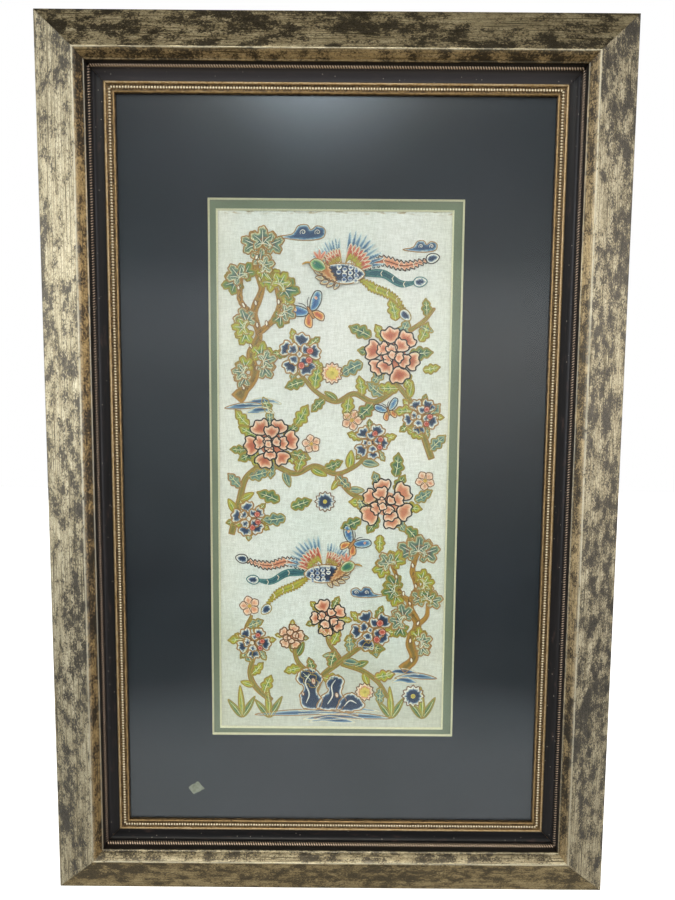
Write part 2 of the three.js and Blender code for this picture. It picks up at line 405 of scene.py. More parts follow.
# Painted shade: the wall under the outer lip is near black, standing in for the lip's shadow.
under_lip, tree, shader = new_finish("painted_shade_under_lip", Roughness=0.55)
place = add(tree, "Attribute", attribute_name="place", out=1)
spread = add(tree, "VectorMath", place, per_mm(40, 1.5), operation="MULTIPLY")
grain = add(tree, "TexNoise", spread, 1.0, 4.0)
colour = add(tree, "ValToRGB", grain, stops=((0.4, "#120F0C"), (0.65, "#231C16")))
tree.links.new(colour, shader.inputs["Base Color"])
print("finishes", raw_wood.name, "and", under_lip.name)

# %% Outer rails
OUTER_ROW = 4.0             # mm between rows along a rail
OUTER_GAP = 0.05            # mm, half of the line at each mitre
for side in SIDES:
    points, faces, zones, places = run_rail(side, outer_section, OUTER_ROW, OUTER_GAP, worn_ridge)
    rows = len(points) // len(outer_section)
    bands = np.tile([band_weights(p[0], p[1], side) for p in outer_section], (rows, 1))
    slots = [{"raw": 1, "under": 2}.get(zone, 0) for zone in zones]
    rail = new_piece("leafed_rail_" + side, points, faces, [rubbed_leaf, raw_wood, under_lip], slots,
                     vectors={"place": places, "band": bands}, crease=50)
    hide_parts("outer_rail_" + side)
    print(rail.name, len(faces), "faces")

# %% [markdown]
# ## Inner rails
# Inside the leafed frame sits a narrow frame of its own: black lacquer in a hollow, a copper rope bead
# tucked under the outer lip, and at the window a gilded fillet, a string of small gilded beads and a lip.
# The hollow, fillet and lip are one sweep of the measured section. Lacquer rubbed with fine powder is a
# satin black that browns where it wears and holds a few specks of dust, and it is painted a lighter grey as
# a painted sheen, most on the top rail. Gilding rubbed over a dark ground is painted dark in the hollows as
# painted shade and bright on the crests as a painted highlight.

# %% Black lacquer
lacquer, tree, shader = new_finish("black_lacquer_rubbed_satin", Specular_IOR_Level=0.22)
place = add(tree, "Attribute", attribute_name="place", out=1)
spread = add(tree, "VectorMath", place, per_mm(50, 1.3), operation="MULTIPLY")
grain = add(tree, "TexNoise", spread, 1.0, 5.0, 0.65)
spread = add(tree, "VectorMath", place, per_mm(20, 5), operation="MULTIPLY")
rub = add(tree, "TexNoise", spread, 1.0, 5.0, 0.6)
black = add(tree, "ValToRGB", grain, stops=((0.35, "#0E0D0D"), (0.70, "#1E1B1A")))
brown = add(tree, "MapRange", rub, 0.56, 0.74, 0.0, 0.7, interpolation_type="SMOOTHSTEP")
black = add(tree, "Mix", brown, black, "#40302A", data_type="RGBA")
# Painted sheen: each rail's weight mixes the lacquer toward a lighter grey, most on the top rail.
painted_sheen = add(tree, "SeparateXYZ", add(tree, "Attribute", attribute_name="band", out=1), out=1)
black = add(tree, "Mix", painted_sheen, black, "#484342", data_type="RGBA")
dust = add(tree, "TexVoronoi", add(tree, "VectorMath", place, per_mm(6, 6), operation="MULTIPLY"), 1.0)
dust = add(tree, "MapRange", dust, 0.10, 0.06, 0.0, 0.6)
black = add(tree, "Mix", dust, black, "#B0A596", data_type="RGBA")
tree.links.new(black, shader.inputs["Base Color"])
tree.links.new(add(tree, "MapRange", rub, 0.3, 0.7, 0.30, 0.44), shader.inputs["Roughness"])
tree.links.new(add(tree, "Bump", 0.25, 0.1 * MM, {"Height": grain}), shader.inputs["Normal"])
print(lacquer.name, "has", len(tree.nodes), "nodes")


# %% Gilding
def gilding(name, deep, mid, high, base_metal):
    """Gilt over a dark ground, painted dark in the hollows as painted shade and bright on the crests as a
    painted highlight, from the band attribute.
    """
    material, tree, shader = new_finish(name, Metallic=base_metal)
    place = add(tree, "Attribute", attribute_name="place", out=1)
    crest = add(tree, "SeparateXYZ", add(tree, "Attribute", attribute_name="band", out=1))
    spread = add(tree, "VectorMath", place, per_mm(9, 2.2), operation="MULTIPLY")
    rub = add(tree, "TexNoise", spread, 1.0, 6.0, 0.75)
    spread = add(tree, "VectorMath", place, per_mm(1.6, 0.9), operation="MULTIPLY")
    fleck = add(tree, "TexNoise", spread, 1.0, 2.0, 0.6)
    # On top of the rubbed wear, the crest weight adds a painted highlight on crests and leaves painted
    # shade in hollows.
    wear_and_highlight = add(tree, "Math", add(tree, "Math", rub, fleck), 0.75, crest, operation="MULTIPLY_ADD")
    colour = add(tree, "ValToRGB", add(tree, "Math", wear_and_highlight, 0.55, operation="MULTIPLY"),
                 stops=((0.38, deep), (0.56, mid), (0.90, high)))
    tree.links.new(colour, shader.inputs["Base Color"])
    tree.links.new(add(tree, "MapRange", rub, 0.3, 0.7, 0.30, 0.48), shader.inputs["Roughness"])
    tree.links.new(add(tree, "Bump", 0.3, 0.15 * MM, {"Height": rub}), shader.inputs["Normal"])
    return material


gilt = gilding("gilt_rubbed_over_umber", "#40301E", "#A98A5A", "#F2E4C4", 0.6)
copper_gilt = gilding("copper_bronze_rubbed_over_black", "#15100C", "#6C5442", "#DCC4A8", 0.5)
print("finishes", gilt.name, "and", copper_gilt.name)


# %% Inner rail section
def arc_points(inset, height, radius, start, end, count, zone):
    """Points round part of a circle in the section, angles in degrees from the inward direction."""
    turns = [math.radians(start + (end - start) * k / (count - 1)) for k in range(count)]
    return [(inset + radius * math.cos(t), height + radius * math.sin(t), zone) for t in turns]


def bend_points(start, handle, end, count, zone):
    """Points along a quadratic bend from start to end, without its last point."""
    shares = [k / count for k in range(count)]
    return [tuple((1 - t) ** 2 * a + 2 * t * (1 - t) * b + t * t * c
                  for a, b, c in zip(start, handle, end)) + (zone,) for t in shares]


inner_corners = [(45.3, 2, "raw"), (68.2, 2, "raw"), (68.2, 14.8, "raw")]
inner_corners += bend_points((74.2, 14.8), (74.2, 17.7), (72.6, 17.7), 6, "gilt")
inner_corners += [(72.6, 17.7, "gilt"), (72.25, 17.3, "gilt"), (72.1, 16.2, "gilt"), (66.1, 16.2, "gilt")]
inner_corners += arc_points(64.7, 16.8, 1.25, -20, 195, 9, "gilt")
inner_corners += [(63.2, 16.5, "black")]
inner_corners += bend_points((63.1, 16.5), (54.3, 16.5), (53.35, 20.2), 14, "black")
inner_corners += arc_points(53.0, 20.3, 0.35, 0, 180, 5, "black")
inner_corners += [(52.4, 20.0, "black"), (48.5, 20.0, "black"), (48.5, 19.6, "raw"), (45.3, 19.6, "raw")]
inner_section = fine_section(inner_corners, SECTION_STEP)
print("inner section of", len(inner_section), "points")

# %% Inner rails
INNER_ROW = 5.0             # mm between rows along a rail
INNER_GAP = 0.12            # mm, half of the dark line at each mitre of the inner frame
# How much painted sheen lightens the lacquer on each rail.
LACQUER_PAINTED_SHEEN = {"left": 0.1, "top": 0.6, "right": 0.1, "bottom": 0.0}


def crest_weight(inset, height):
    """How much painted highlight a point of the gilded bands gets for standing out of its groove, from 0 to
    1.
    """
    if 63.0 < inset < 66.4:
        return 0.35 * min(1, max(0, (height - 16.4) / 1.5))
    if inset >= 72.0:
        return 0.25 * min(1, max(0, (height - 16.6) / 1.2))
    return 0.08


for side in SIDES:
    points, faces, zones, places = run_rail(side, inner_section, INNER_ROW, INNER_GAP)
    rows = len(points) // len(inner_section)
    bands = np.tile([(crest_weight(p[0], p[1]), LACQUER_PAINTED_SHEEN[side], 0) for p in inner_section], (rows, 1))
    slots = [{"gilt": 0, "black": 1}.get(zone, 2) for zone in zones]
    rail = new_piece("lacquered_rail_" + side, points, faces, [gilt, lacquer, raw_wood], slots,
                     vectors={"place": places, "band": bands}, crease=50)
    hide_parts("inner_rail_" + side)
    print(rail.name, len(faces), "faces")

# %% [markdown]
# ## Rope bead and bead course
# The rope is a moulded band of two twisted strands, so its section swells and shrinks as it turns along the
# rail. The bead course is a row of small domes at an even pitch, closed up slightly so that a whole number
# fits each side. Both are real relief, because they glint one by one in the light from the sides, and their
# colour carries painted light as well. The rope is painted dark between its turns and pale on their crests,
# lighter on some rails than on others, and each bead is painted paler toward its top. Both pitches are a
# hair coarser than they look in the photograph, so that each turn and bead still shows.

# %% Rope bead
ROPE = dict(inset=50.9, height=21.4, radius=2.0, pitch=2.5, depth=0.55, end=1.2, row=0.42)      # mm
# Painted light: each rail's rope is painted lighter or darker by this amount.
ROPE_SIDE_LIGHT = {"left": -0.15, "top": 0.45, "right": -0.1, "bottom": 0.2}
ROUND = 9                   # points round the rope


def rope_points(side):
    """Two twisted strands along a side: points, faces, places and crest weights."""
    reach = SIDES[side][2] - ROPE["inset"] - ROPE["end"]
    rows = round(2 * reach / ROPE["row"])
    along = np.linspace(-reach, reach, rows)[:, None]
    turn = np.linspace(0, 2 * math.pi, ROUND, endpoint=False)[None, :]
    crest = np.abs(np.cos(turn - 2 * math.pi * along / ROPE["pitch"] / 2))
    radius = ROPE["radius"] + ROPE["depth"] * (crest - 0.6)
    inset, height = ROPE["inset"] + radius * np.cos(turn), ROPE["height"] + radius * np.sin(turn)
    shift = np.full(crest.size, SIDES[side][4])
    places = np.stack([np.repeat(along.ravel(), ROUND), np.tile(turn.ravel() * 1.6, rows), shift], 1)
    # Painted shade between the turns and a painted highlight on their crests, shifted for each rail.
    bands = np.stack([(crest.ravel() - 0.60) * 2.0 + ROPE_SIDE_LIGHT[side], shift * 0, shift * 0], 1)
    faces, _ = sweep_faces(rows, ROUND, ["rope"] * ROUND, True)
    return on_rail(side, along, inset, height), faces, places, bands


for side in SIDES:
    points, faces, places, bands = rope_points(side)
    rope = new_piece("rope_bead_" + side, points, faces, [copper_gilt],
                     vectors={"place": places, "band": bands})
    print(rope.name, len(faces), "faces")

# %% Bead course
BEADS = dict(inset=69.1, height=16.5, radius=1.6, pitch=2.75, end=0.4, longer=0.80)     # mm and a share
DOME_EDGE = 96              # degrees down from a bead's top, so that its rim tucks into the groove


def dome(rings, sides_round):
    """A small dome as unit points (along, inward, up) and faces."""
    spots, faces = [(0, 0, 1)], []
    for ring in range(1, rings + 1):
        tilt = math.radians(DOME_EDGE) * ring / rings
        for k in range(sides_round):
            turn = 2 * math.pi * k / sides_round
            spots.append((math.sin(tilt) * math.cos(turn), math.sin(tilt) * math.sin(turn), math.cos(tilt)))
    for k in range(sides_round):
        after = (k + 1) % sides_round
        faces.append((0, 1 + k, 1 + after))
        for ring in range(rings - 1):
            low, high = 1 + ring * sides_round, 1 + (ring + 1) * sides_round
            faces.append((low + k, high + k, high + after, low + after))
    return np.array(spots), faces


dome_spots, dome_faces = dome(4, 10)
bead_total = 0
for side in SIDES:
    reach = SIDES[side][2] - BEADS["inset"] - BEADS["end"]
    count = round(2 * reach / BEADS["pitch"])
    centres = (np.arange(count) + 0.5) / count * 2 * reach - reach
    swell = np.array([chances.uniform(0.94, 1.04) for _ in centres])
    size = BEADS["radius"] * swell[:, None]
    along = centres[:, None] + BEADS["longer"] * size * dome_spots[None, :, 0]
    inset = BEADS["inset"] + size * dome_spots[None, :, 1]
    height = BEADS["height"] + size * dome_spots[None, :, 2]
    shift = np.full(along.size, SIDES[side][4])
    places = np.stack([along.ravel() * 1.7, inset.ravel(), shift], 1)
    crest = np.broadcast_to(dome_spots[None, :, 2], along.shape).ravel()
    # Painted highlight: each bead is painted paler toward its top.
    bands = np.stack([np.clip(crest * 1.2 - 0.2, -0.2, 0.9), shift * 0, shift * 0], 1)
    step = len(dome_spots)
    faces = [tuple(v + step * n for v in face) for n in range(count) for face in dome_faces]
    beads = new_piece("bead_course_" + side, on_rail(side, along, inset, height), faces, [gilt],
                      vectors={"place": places, "band": bands})
    bead_total += count
print("beads", bead_total, "of", len(dome_faces), "faces")

# %% [markdown]
# ## Glass and mats
# Picture glass is 2 mm float glass, clear and flat. It is a real slab here, and casts no shadow, so that
# light reaches the silk without the render having to find its way through it. The two mats are cut
# board: a coloured paper face over a cream core, which shows as a fine line where the knife cut it at 45
# degrees. The loaded solids are right, and the face and the cut are told apart by which way they point.

# %% Glass
glass, tree, shader = new_finish("float_glass_clear", Transmission_Weight=1.0, Roughness=0.0, IOR=1.5)
haze = add(tree, "TexNoise", add(tree, "TexCoord", out=3), 9.0, 4.0, 0.6)
colour = add(tree, "ValToRGB", haze, stops=((0.35, "#FBFDFC"), (0.65, "#F5FAF8")))
tree.links.new(colour, shader.inputs["Base Color"])
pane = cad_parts["glass_sheet"]
pane.data.materials.clear()
pane.data.materials.append(glass)
pane.visible_shadow = False
print(glass.name, "on", pane.name)


# %% Mat board
def mat_board(name, face_low, face_high, core, roughness):
    """Coloured paper on a cream core, with a fine paper tooth."""
    material, tree, shader = new_finish(name, Roughness=roughness, Specular_IOR_Level=0.25)
    place = add(tree, "TexCoord", out=3)
    tooth = add(tree, "TexNoise", place, 1 / (1.2 * MM), 3.0, 0.6)
    cloud = add(tree, "TexNoise", place, 1 / (70 * MM), 3.0, 0.5)
    facing = add(tree, "SeparateXYZ", add(tree, "NewGeometry", out=3)).node.outputs[1]
    facing = add(tree, "Math", facing, operation="ABSOLUTE")
    flat = add(tree, "Math", facing, 0.85, operation="GREATER_THAN")
    mixed = add(tree, "Math", tooth, 0.45, cloud, operation="MULTIPLY_ADD")
    face = add(tree, "ValToRGB", mixed, stops=((0.45, face_low), (1.0, face_high)))
    pulp = add(tree, "ValToRGB", tooth, stops=((0.3, core[0]), (0.7, core[1])))
    tree.links.new(add(tree, "Mix", flat, pulp, face, data_type="RGBA"), shader.inputs["Base Color"])
    tree.links.new(add(tree, "Bump", 0.06, 0.1 * MM, {"Height": tooth}), shader.inputs["Normal"])
    return material


black_paper = mat_board("mat_board_black_paper", "#1A1E22", "#24292E", ("#C4BF9B", "#D6D1B0"), 0.75)
sage_paper = mat_board("mat_board_sage_paper", "#67705A", "#77816A", ("#CFCCA9", "#E2DFBF"), 0.8)
brown_board, tree, shader = new_finish("kraft_backing_board", Roughness=0.85)
place = add(tree, "TexCoord", out=3)
spread = add(tree, "VectorMath", place, (500, 500, 90), operation="MULTIPLY")     # fibres of 2 by 11 mm
fibre = add(tree, "TexNoise", spread, 1.0, 5.0, 0.6)
colour = add(tree, "ValToRGB", fibre, stops=((0.3, "#8D7453"), (0.7, "#AD9470")))
tree.links.new(colour, shader.inputs["Base Color"])
tree.links.new(add(tree, "Bump", 0.3, 0.2 * MM, {"Height": fibre}), shader.inputs["Normal"])
boards = {"black_mat": black_paper, "sage_mat": sage_paper, "back_board": brown_board}
for node_name, material in boards.items():
    sheet_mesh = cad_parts[node_name].data
    sheet_mesh.materials.clear()
    sheet_mesh.materials.append(material)
print("finished", ", ".join(boards))

# %% [markdown]
# ## Loose flake
# A dull flake of old backing paper has slipped down between the glass and the black mat near the lower
# left corner. It is a thin torn piece that lies flat on the mat, so it is a small sheet of its own.

# %% Loose flake
flake_rim = [(-9.4, -0.8), (-5.6, 3.0), (-3.6, 2.9), (-0.6, 6.0), (1.4, 5.6), (4.2, 1.4), (7.6, -1.9),
             (4.0, -3.2), (2.6, -4.9), (-1.6, -6.4), (-4.4, -8.0), (-6.6, -4.8)]
FLAKE_AT = (-138.6, -327.6)     # mm right of and above the frame's middle
FLAKE_LIFTS = (0.06, 0.24)      # mm from the mat to its back and its front
mat_front = -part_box("black_mat")[0].y / MM
flake_points, flake_faces = [], []
for lift in FLAKE_LIFTS:
    flake_points += [(x, -(mat_front + lift), z) for x, z in [(0, 0)] + flake_rim]
rim = len(flake_rim)
for k in range(rim):
    after = (k + 1) % rim
    flake_faces += [(0, 1 + k, 1 + after), (rim + 1, rim + 2 + after, rim + 2 + k)]
    flake_faces += [(1 + k, rim + 2 + k, rim + 2 + after, 1 + after)]
flake_points = np.array(flake_points) + np.array([FLAKE_AT[0], 0, FLAKE_AT[1] + middle.z / MM])
flake_paper, tree, shader = new_finish("old_paper_flake", Roughness=0.8)
mottle = add(tree, "TexNoise", add(tree, "TexCoord", out=3), 1 / (3 * MM), 4.0, 0.6)
colour = add(tree, "ValToRGB", mottle, stops=((0.35, "#6E6F55"), (0.65, "#8F9180")))
tree.links.new(colour, shader.inputs["Base Color"])
flake = new_piece("loose_paper_flake", flake_points * MM, flake_faces, [flake_paper], smooth=False)
print(flake.name, len(flake_faces), "faces")

# %% [markdown]
# ## Silk ground
# The ground is thin plain-woven silk the colour of pale celadon, stretched flat over the backing. It is
# painted a little darker toward the foot as painted shade, and greener there, with faint grey rubs and a
# warmer tone near the cut edges, and a thin strip of tan blots lies along the top. The sheet is a fine grid
# with the slightest puckers between the stitched parts, and the weave is drawn coarser than the real
# threads so that it shows.

# %% Silk finish
WEAVE_MM = 0.9              # real threads are about 0.1 mm apart
FLOAT_MM = 6                # length over which one thread keeps its tone
silk_low, silk_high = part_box("silk_panel")
silk_cloth, tree, shader = new_finish("silk_plain_weave_celadon", Roughness=0.62, Sheen_Weight=0.15)
place = add(tree, "TexCoord", out=3)
height = add(tree, "SeparateXYZ", place, out=2)
across = height.node.outputs[0]
cloud = add(tree, "TexNoise", place, 1 / (60 * MM), 4.0, 0.6)
# Painted shade: the ground is painted darker toward the foot.
rise = add(tree, "MapRange", height, silk_low.z, silk_high.z, 0.0, 1.0)
rise = add(tree, "Math", cloud, 0.5, rise, operation="MULTIPLY_ADD")
ground = add(tree, "ValToRGB", rise, stops=(
    (0.28, "#CBCDBC"), (0.50, "#DFE4DA"), (0.80, "#E9EAE1"), (1.0, "#E2E3DA")))
spread = add(tree, "VectorMath", place, (1 / 0.012, 50, 1 / 0.05), operation="MULTIPLY")
rub = add(tree, "TexNoise", spread, 1.0, 6.0, 0.7)
rubbed = add(tree, "MapRange", rub, 0.52, 0.74, 0.0, 0.28, interpolation_type="SMOOTHSTEP")
ground = add(tree, "Mix", rubbed, ground, "#C3C8B8", data_type="RGBA")
warm = add(tree, "TexNoise", place, 1 / (35 * MM), 3.0, 0.6)
edge = add(tree, "Math", add(tree, "Math", across, operation="ABSOLUTE"), 0.085, operation="SUBTRACT")
edge = add(tree, "Math", warm, 0.05, edge, operation="MULTIPLY_ADD")
edge = add(tree, "MapRange", edge, 0.015, 0.06, 0.0, 0.25)
ground = add(tree, "Mix", edge, ground, "#D5CFAE", data_type="RGBA")
print("silk solid", [round(v / MM, 1) for v in silk_high - silk_low], "mm")

# %% Tan strip and weave
# A thin strip of tan blots along the top of the silk.
top_strip = add(tree, "MapRange", height, silk_high.z - 11.5 * MM, silk_high.z - 9.5 * MM)
spread = add(tree, "VectorMath", place, (1 / 0.009, 0, 1 / 0.003), operation="MULTIPLY")
blots = add(tree, "MapRange", add(tree, "TexNoise", spread, 1.0, 3.0), 0.50, 0.60, 0.0, 0.8)
stain = add(tree, "Math", top_strip, blots, operation="MULTIPLY")
ground = add(tree, "Mix", stain, ground, "#A58F58", data_type="RGBA")
threads = []
for across_mm, up_mm in ((WEAVE_MM, FLOAT_MM), (FLOAT_MM, WEAVE_MM)):
    grain = (1 / (across_mm * MM), 300, 1 / (up_mm * MM))
    spread = add(tree, "VectorMath", place, grain, operation="MULTIPLY")
    threads.append(add(tree, "TexNoise", spread, 1.0, 2.0))
weave = add(tree, "Math", *threads)
shade = add(tree, "ValToRGB", add(tree, "Math", weave, 0.5, operation="MULTIPLY"),
            stops=((0.38, "#E8E8E4"), (0.62, "#FFFFFF")))
ground = add(tree, "Mix", 1.0, ground, shade, data_type="RGBA", blend_type="MULTIPLY")
tree.links.new(ground, shader.inputs["Base Color"])
tree.links.new(add(tree, "Bump", 0.35, 0.15 * MM, {"Height": weave}), shader.inputs["Normal"])
print(silk_cloth.name, "has", len(tree.nodes), "nodes")

# %% Silk sheet
SILK_FRONT = -silk_low.y / MM
SILK_THICK = 0.5            # mm, the cloth alone without the backing that the solid takes in
SILK_STEP = 3               # mm between points of the sheet
columns = round((silk_high.x - silk_low.x) / MM / SILK_STEP)
lines = round((silk_high.z - silk_low.z) / MM / SILK_STEP)
xs = np.linspace(silk_low.x, silk_high.x, columns + 1) / MM
zs = np.linspace(silk_low.z, silk_high.z, lines + 1) / MM


def pucker(x, z):
    """How far the silk lies behind its flat front, in mm."""
    return 0.16 * (noise.noise((x / 26, 0, z / 38)) + 0.5 * noise.noise((x / 9, 3, z / 13)) - 0.8)


front = [(x, -(SILK_FRONT + pucker(x, z)), z) for z in zs for x in xs]
back = [(x, y + SILK_THICK, z) for x, y, z in front]
wide = columns + 1
silk_faces = []
for row in range(lines):
    for col in range(columns):
        a, b = row * wide + col, (row + 1) * wide + col
        silk_faces.append((a, a + 1, b + 1, b))
        silk_faces.append((len(front) + b, len(front) + b + 1, len(front) + a + 1, len(front) + a))
loop = list(range(wide)) + [r * wide + columns for r in range(1, lines + 1)]
loop += [lines * wide + c for c in range(columns - 1, -1, -1)] + [r * wide for r in range(lines - 1, 0, -1)]
for a, b in zip(loop, loop[1:] + loop[:1]):
    silk_faces.append((a, a + len(front), b + len(front), b))
silk = new_piece("silk_ground", np.array(front + back) * MM, silk_faces, [silk_cloth])
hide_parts("silk_panel")
print("silk", len(silk_faces), "faces")

# %% [markdown]
# ## Stitching
# The design is worked in untwisted silk floss. Long and short stitches fill each shape side by side, so it
# stands a little proud and shades from one colour to the next in ragged steps, and a twisted cord is laid
# along its outline and couched down. Here a shape is a closed outline in mm. It is filled with small
# triangles whose colour comes from their distance to the rim, and the threads' direction is kept on every
# point so that the finish can draw them. The motifs are traditional ones, drawn afresh.

# %% Outlines
from mathutils.geometry import delaunay_2d_cdt

SILK_MIDDLE = ((silk_low.x + silk_high.x) / 2 / MM, (silk_low.z + silk_high.z) / 2 / MM)
SHARES = np.linspace(0, 1, 9)[:-1, None]     # steps along each stretch of a smooth line
needle = random.Random(23)


def even_line(points, step, closed):
    """The same line with its points an even step apart."""
    points = np.asarray(points, float)
    if closed:
        points = np.vstack([points, points[:1]])
    lengths = np.concatenate([[0], np.cumsum(np.hypot(*np.diff(points, axis=0).T))])
    count = max(3 if closed else 1, round(lengths[-1] / step))
    stops = np.linspace(0, lengths[-1], count + 1)
    line = np.stack([np.interp(stops, lengths, points[:, k]) for k in (0, 1)], 1)
    return line[:-1] if closed else line


def curve(points, step=1.0, closed=False):
    """A smooth line through the given points."""
    points = np.asarray(points, float)
    if closed:
        around = np.vstack([points[-1:], points, points[:2]])
    else:
        around = np.vstack([2 * points[0] - points[1], points, 2 * points[-1] - points[-2]])
    line = []
    for a, b, c, d in zip(around, around[1:], around[2:], around[3:]):
        line.append(0.5 * (2 * b + (c - a) * SHARES + (2 * a - 5 * b + 4 * c - d) * SHARES ** 2
                           + (3 * b - a - 3 * c + d) * SHARES ** 3))
    line = np.vstack(line + ([] if closed else [points[-1:]]))
    return even_line(line, step, closed)


def placed(shape, at, angle=0.0, size=1.0, mirror=False):
    """A shape drawn about the origin, scaled, turned by an angle in degrees and moved."""
    shape = np.asarray(shape, float) * size
    if mirror:
        shape = shape * (-1, 1)
    turn = math.radians(angle)
    spin = np.array([[math.cos(turn), math.sin(turn)], [-math.sin(turn), math.cos(turn)]])
    return shape @ spin + np.asarray(at, float)


print("middle of the silk in mm", [round(v, 1) for v in SILK_MIDDLE])


# %% Distance to an outline
def rim_distance(points, rim):
    """Distance from each point to a closed outline, negative outside it."""
    start, end = rim[None], np.roll(rim, -1, 0)[None]
    spot = points[:, None]
    side = end - start
    share = np.clip(((spot - start) * side).sum(2) / np.maximum((side ** 2).sum(2), 1e-9), 0, 1)
    gap = np.sqrt((((start + share[..., None] * side) - spot) ** 2).sum(2)).min(1)
    above = (start[..., 1] > spot[..., 1]) != (end[..., 1] > spot[..., 1])
    cross = side[..., 0] * (spot[..., 1] - start[..., 1]) / np.where(side[..., 1] == 0, 1e-9, side[..., 1])
    inside = (above & (spot[..., 0] < cross + start[..., 0])).sum(1) % 2 == 1
    return np.where(inside, gap, -gap)


unit_square = np.array([(0, 0), (1, 0), (1, 1), (0, 1)], float)
print("middle of a unit square lies", rim_distance(np.array([(0.5, 0.5)]), unit_square)[0], "inside")

# %% Stitched work and its shades
SINK_MM = 0.05              # how deep the lowest stitches bite into the silk
LEVEL_MM = 0.16             # how much higher each level of stitching lies


class Work:
    """Stitches that will become one piece: points in mm, faces, colours and thread directions."""

    def __init__(self, name):
        self.name, self.count = name, 0
        self.points, self.faces, self.kinds, self.colours, self.threads = [], [], [], [], []

    def keep(self, spots, lift, faces, kind, colours, threads):
        """Adds points of the silk's plane, raised by lift, and their faces."""
        rise = SILK_FRONT - SINK_MM + lift
        self.points.append(np.stack([spots[:, 0] + SILK_MIDDLE[0], -rise, spots[:, 1] + SILK_MIDDLE[1]], 1))
        self.faces += [tuple(v + self.count for v in face) for face in faces]
        self.kinds += [kind] * len(faces)
        self.colours.append(colours)
        self.threads.append(threads)
        self.count += len(spots)


def shades_at(depth, shades):
    """Colours at depths from the rim, from (depth in mm, hex) steps."""
    steps = [s[0] for s in shades]
    table = np.array([linear(s[1])[:3] for s in shades]) ** 0.5
    return np.stack([np.interp(depth, steps, table[:, k]) ** 2 for k in range(3)], 1)


print("stitch levels", LEVEL_MM, "mm apart")

# %% Filling a shape
RIM_STEP = 1.0              # mm between points of an outline
GRID_MM = (1.05, 0.95)      # mm between the points inside it, across and up
GRID_CLEAR = 0.55           # mm from the rim that stay free of them
STITCH_MM = 0.8             # width of one satin stitch
FILL_SWELL = 0.45           # mm that a fill rises from its rim


def fill(work, outline, shades, lean, level=0, fan=None):
    """Fills an outline with satin stitches leaning at an angle in degrees, or fanned about a point."""
    rim = even_line(outline, RIM_STEP, True)
    low, high = rim.min(0), rim.max(0)
    gx, gz = np.meshgrid(np.arange(low[0], high[0], GRID_MM[0]), np.arange(low[1], high[1], GRID_MM[1]))
    gx[1::2] += 0.52        # every other row moves half a step
    grid = np.stack([gx.ravel(), gz.ravel()], 1)
    grid = grid[rim_distance(grid, rim) > GRID_CLEAR]
    every = np.vstack([rim, grid])
    edges = [(i, (i + 1) % len(rim)) for i in range(len(rim))]
    spots, _, faces, _, _, _ = delaunay_2d_cdt([Vector(p) for p in every], edges, [], 1, 1e-4)
    spots = np.array([tuple(p) for p in spots])
    depth = np.maximum(rim_distance(spots, rim), 0)
    turn = math.radians(lean)
    if fan is None:
        along = spots @ (math.cos(turn), math.sin(turn))
        beside = spots @ (-math.sin(turn), math.cos(turn))
    else:
        away = spots - np.asarray(fan)
        along = np.hypot(*away.T)
        beside = np.arctan2(away[:, 1], away[:, 0]) * max(6.0, along.mean())
    seed = needle.uniform(0, 900)
    # each stitch starts a little sooner or later than its neighbour, by a sine scrambled to look random
    step = np.sin(np.floor(beside / STITCH_MM + seed) * 12.9898) * 43758.5453
    jump = (step - np.floor(step) - 0.5) * 2
    colours = shades_at(np.where(depth > 0.3, np.maximum(depth + jump * 0.8, 0.2), depth), shades)
    colours = np.hstack([colours * (1 + 0.10 * jump[:, None]), np.ones((len(spots), 1))])
    lift = 0.06 + LEVEL_MM * level + FILL_SWELL * (1 - np.exp(-depth / 0.9))
    threads = np.stack([along, beside, np.full(len(spots), seed)], 1)
    corners = np.array(faces)
    ahead, aside = spots[corners[:, 1]] - spots[corners[:, 0]], spots[corners[:, 2]] - spots[corners[:, 0]]
    wrong = ahead[:, 0] * aside[:, 1] < ahead[:, 1] * aside[:, 0]
    corners[wrong] = corners[wrong][:, ::-1]
    work.keep(spots, lift, corners.tolist(), 0, colours, threads)


print("fills swell", FILL_SWELL, "mm")

# %% Couching a cord
CORD_STEP = 0.95            # mm between rings of a cord
CORD_RING = ((1.0, 0.0), (0.6, 0.75), (-0.6, 0.75), (-1.0, 0.0))     # shares of half its width


def cord(work, line, colour, width, closed, level, taper=False):
    """Couches a twisted cord along a line."""
    line = even_line(line, CORD_STEP, closed)
    ahead = np.roll(line, -1, 0) - np.roll(line, 1, 0)
    if not closed:
        ahead[0], ahead[-1] = line[1] - line[0], line[-1] - line[-2]
    ahead = ahead / np.maximum(np.hypot(*ahead.T), 1e-9)[:, None]
    beside = np.stack([-ahead[:, 1], ahead[:, 0]], 1)
    count = len(line)
    half = np.full(count, width / 2)
    if taper:
        half = half * np.sin(np.linspace(0.25, math.pi - 0.12, count)) ** 0.5
    spots = np.stack([line + beside * (half * side)[:, None] for side, _ in CORD_RING], 1).reshape(-1, 2)
    lift = 0.2 + LEVEL_MM * level + np.outer(half, [up for _, up in CORD_RING]).ravel()
    faces = []
    for row in range(count if closed else count - 1):
        after = (row + 1) % count
        for k in range(4):
            j = (k + 1) % 4
            faces.append((row * 4 + k, row * 4 + j, after * 4 + j, after * 4 + k))
    tint = np.array(linear(colour))
    tone = np.array([needle.uniform(0.86, 1.12) for _ in range(count)])
    colours = np.repeat(np.hstack([tint[None, :3] * tone[:, None], np.ones((count, 1))]), 4, 0)
    threads = np.stack([np.repeat(np.arange(count) * CORD_STEP, 4), np.tile([0, 0.5, 1.0, 1.5], count),
                        np.zeros(count * 4)], 1)
    work.keep(spots, lift, faces, 1, colours, threads)


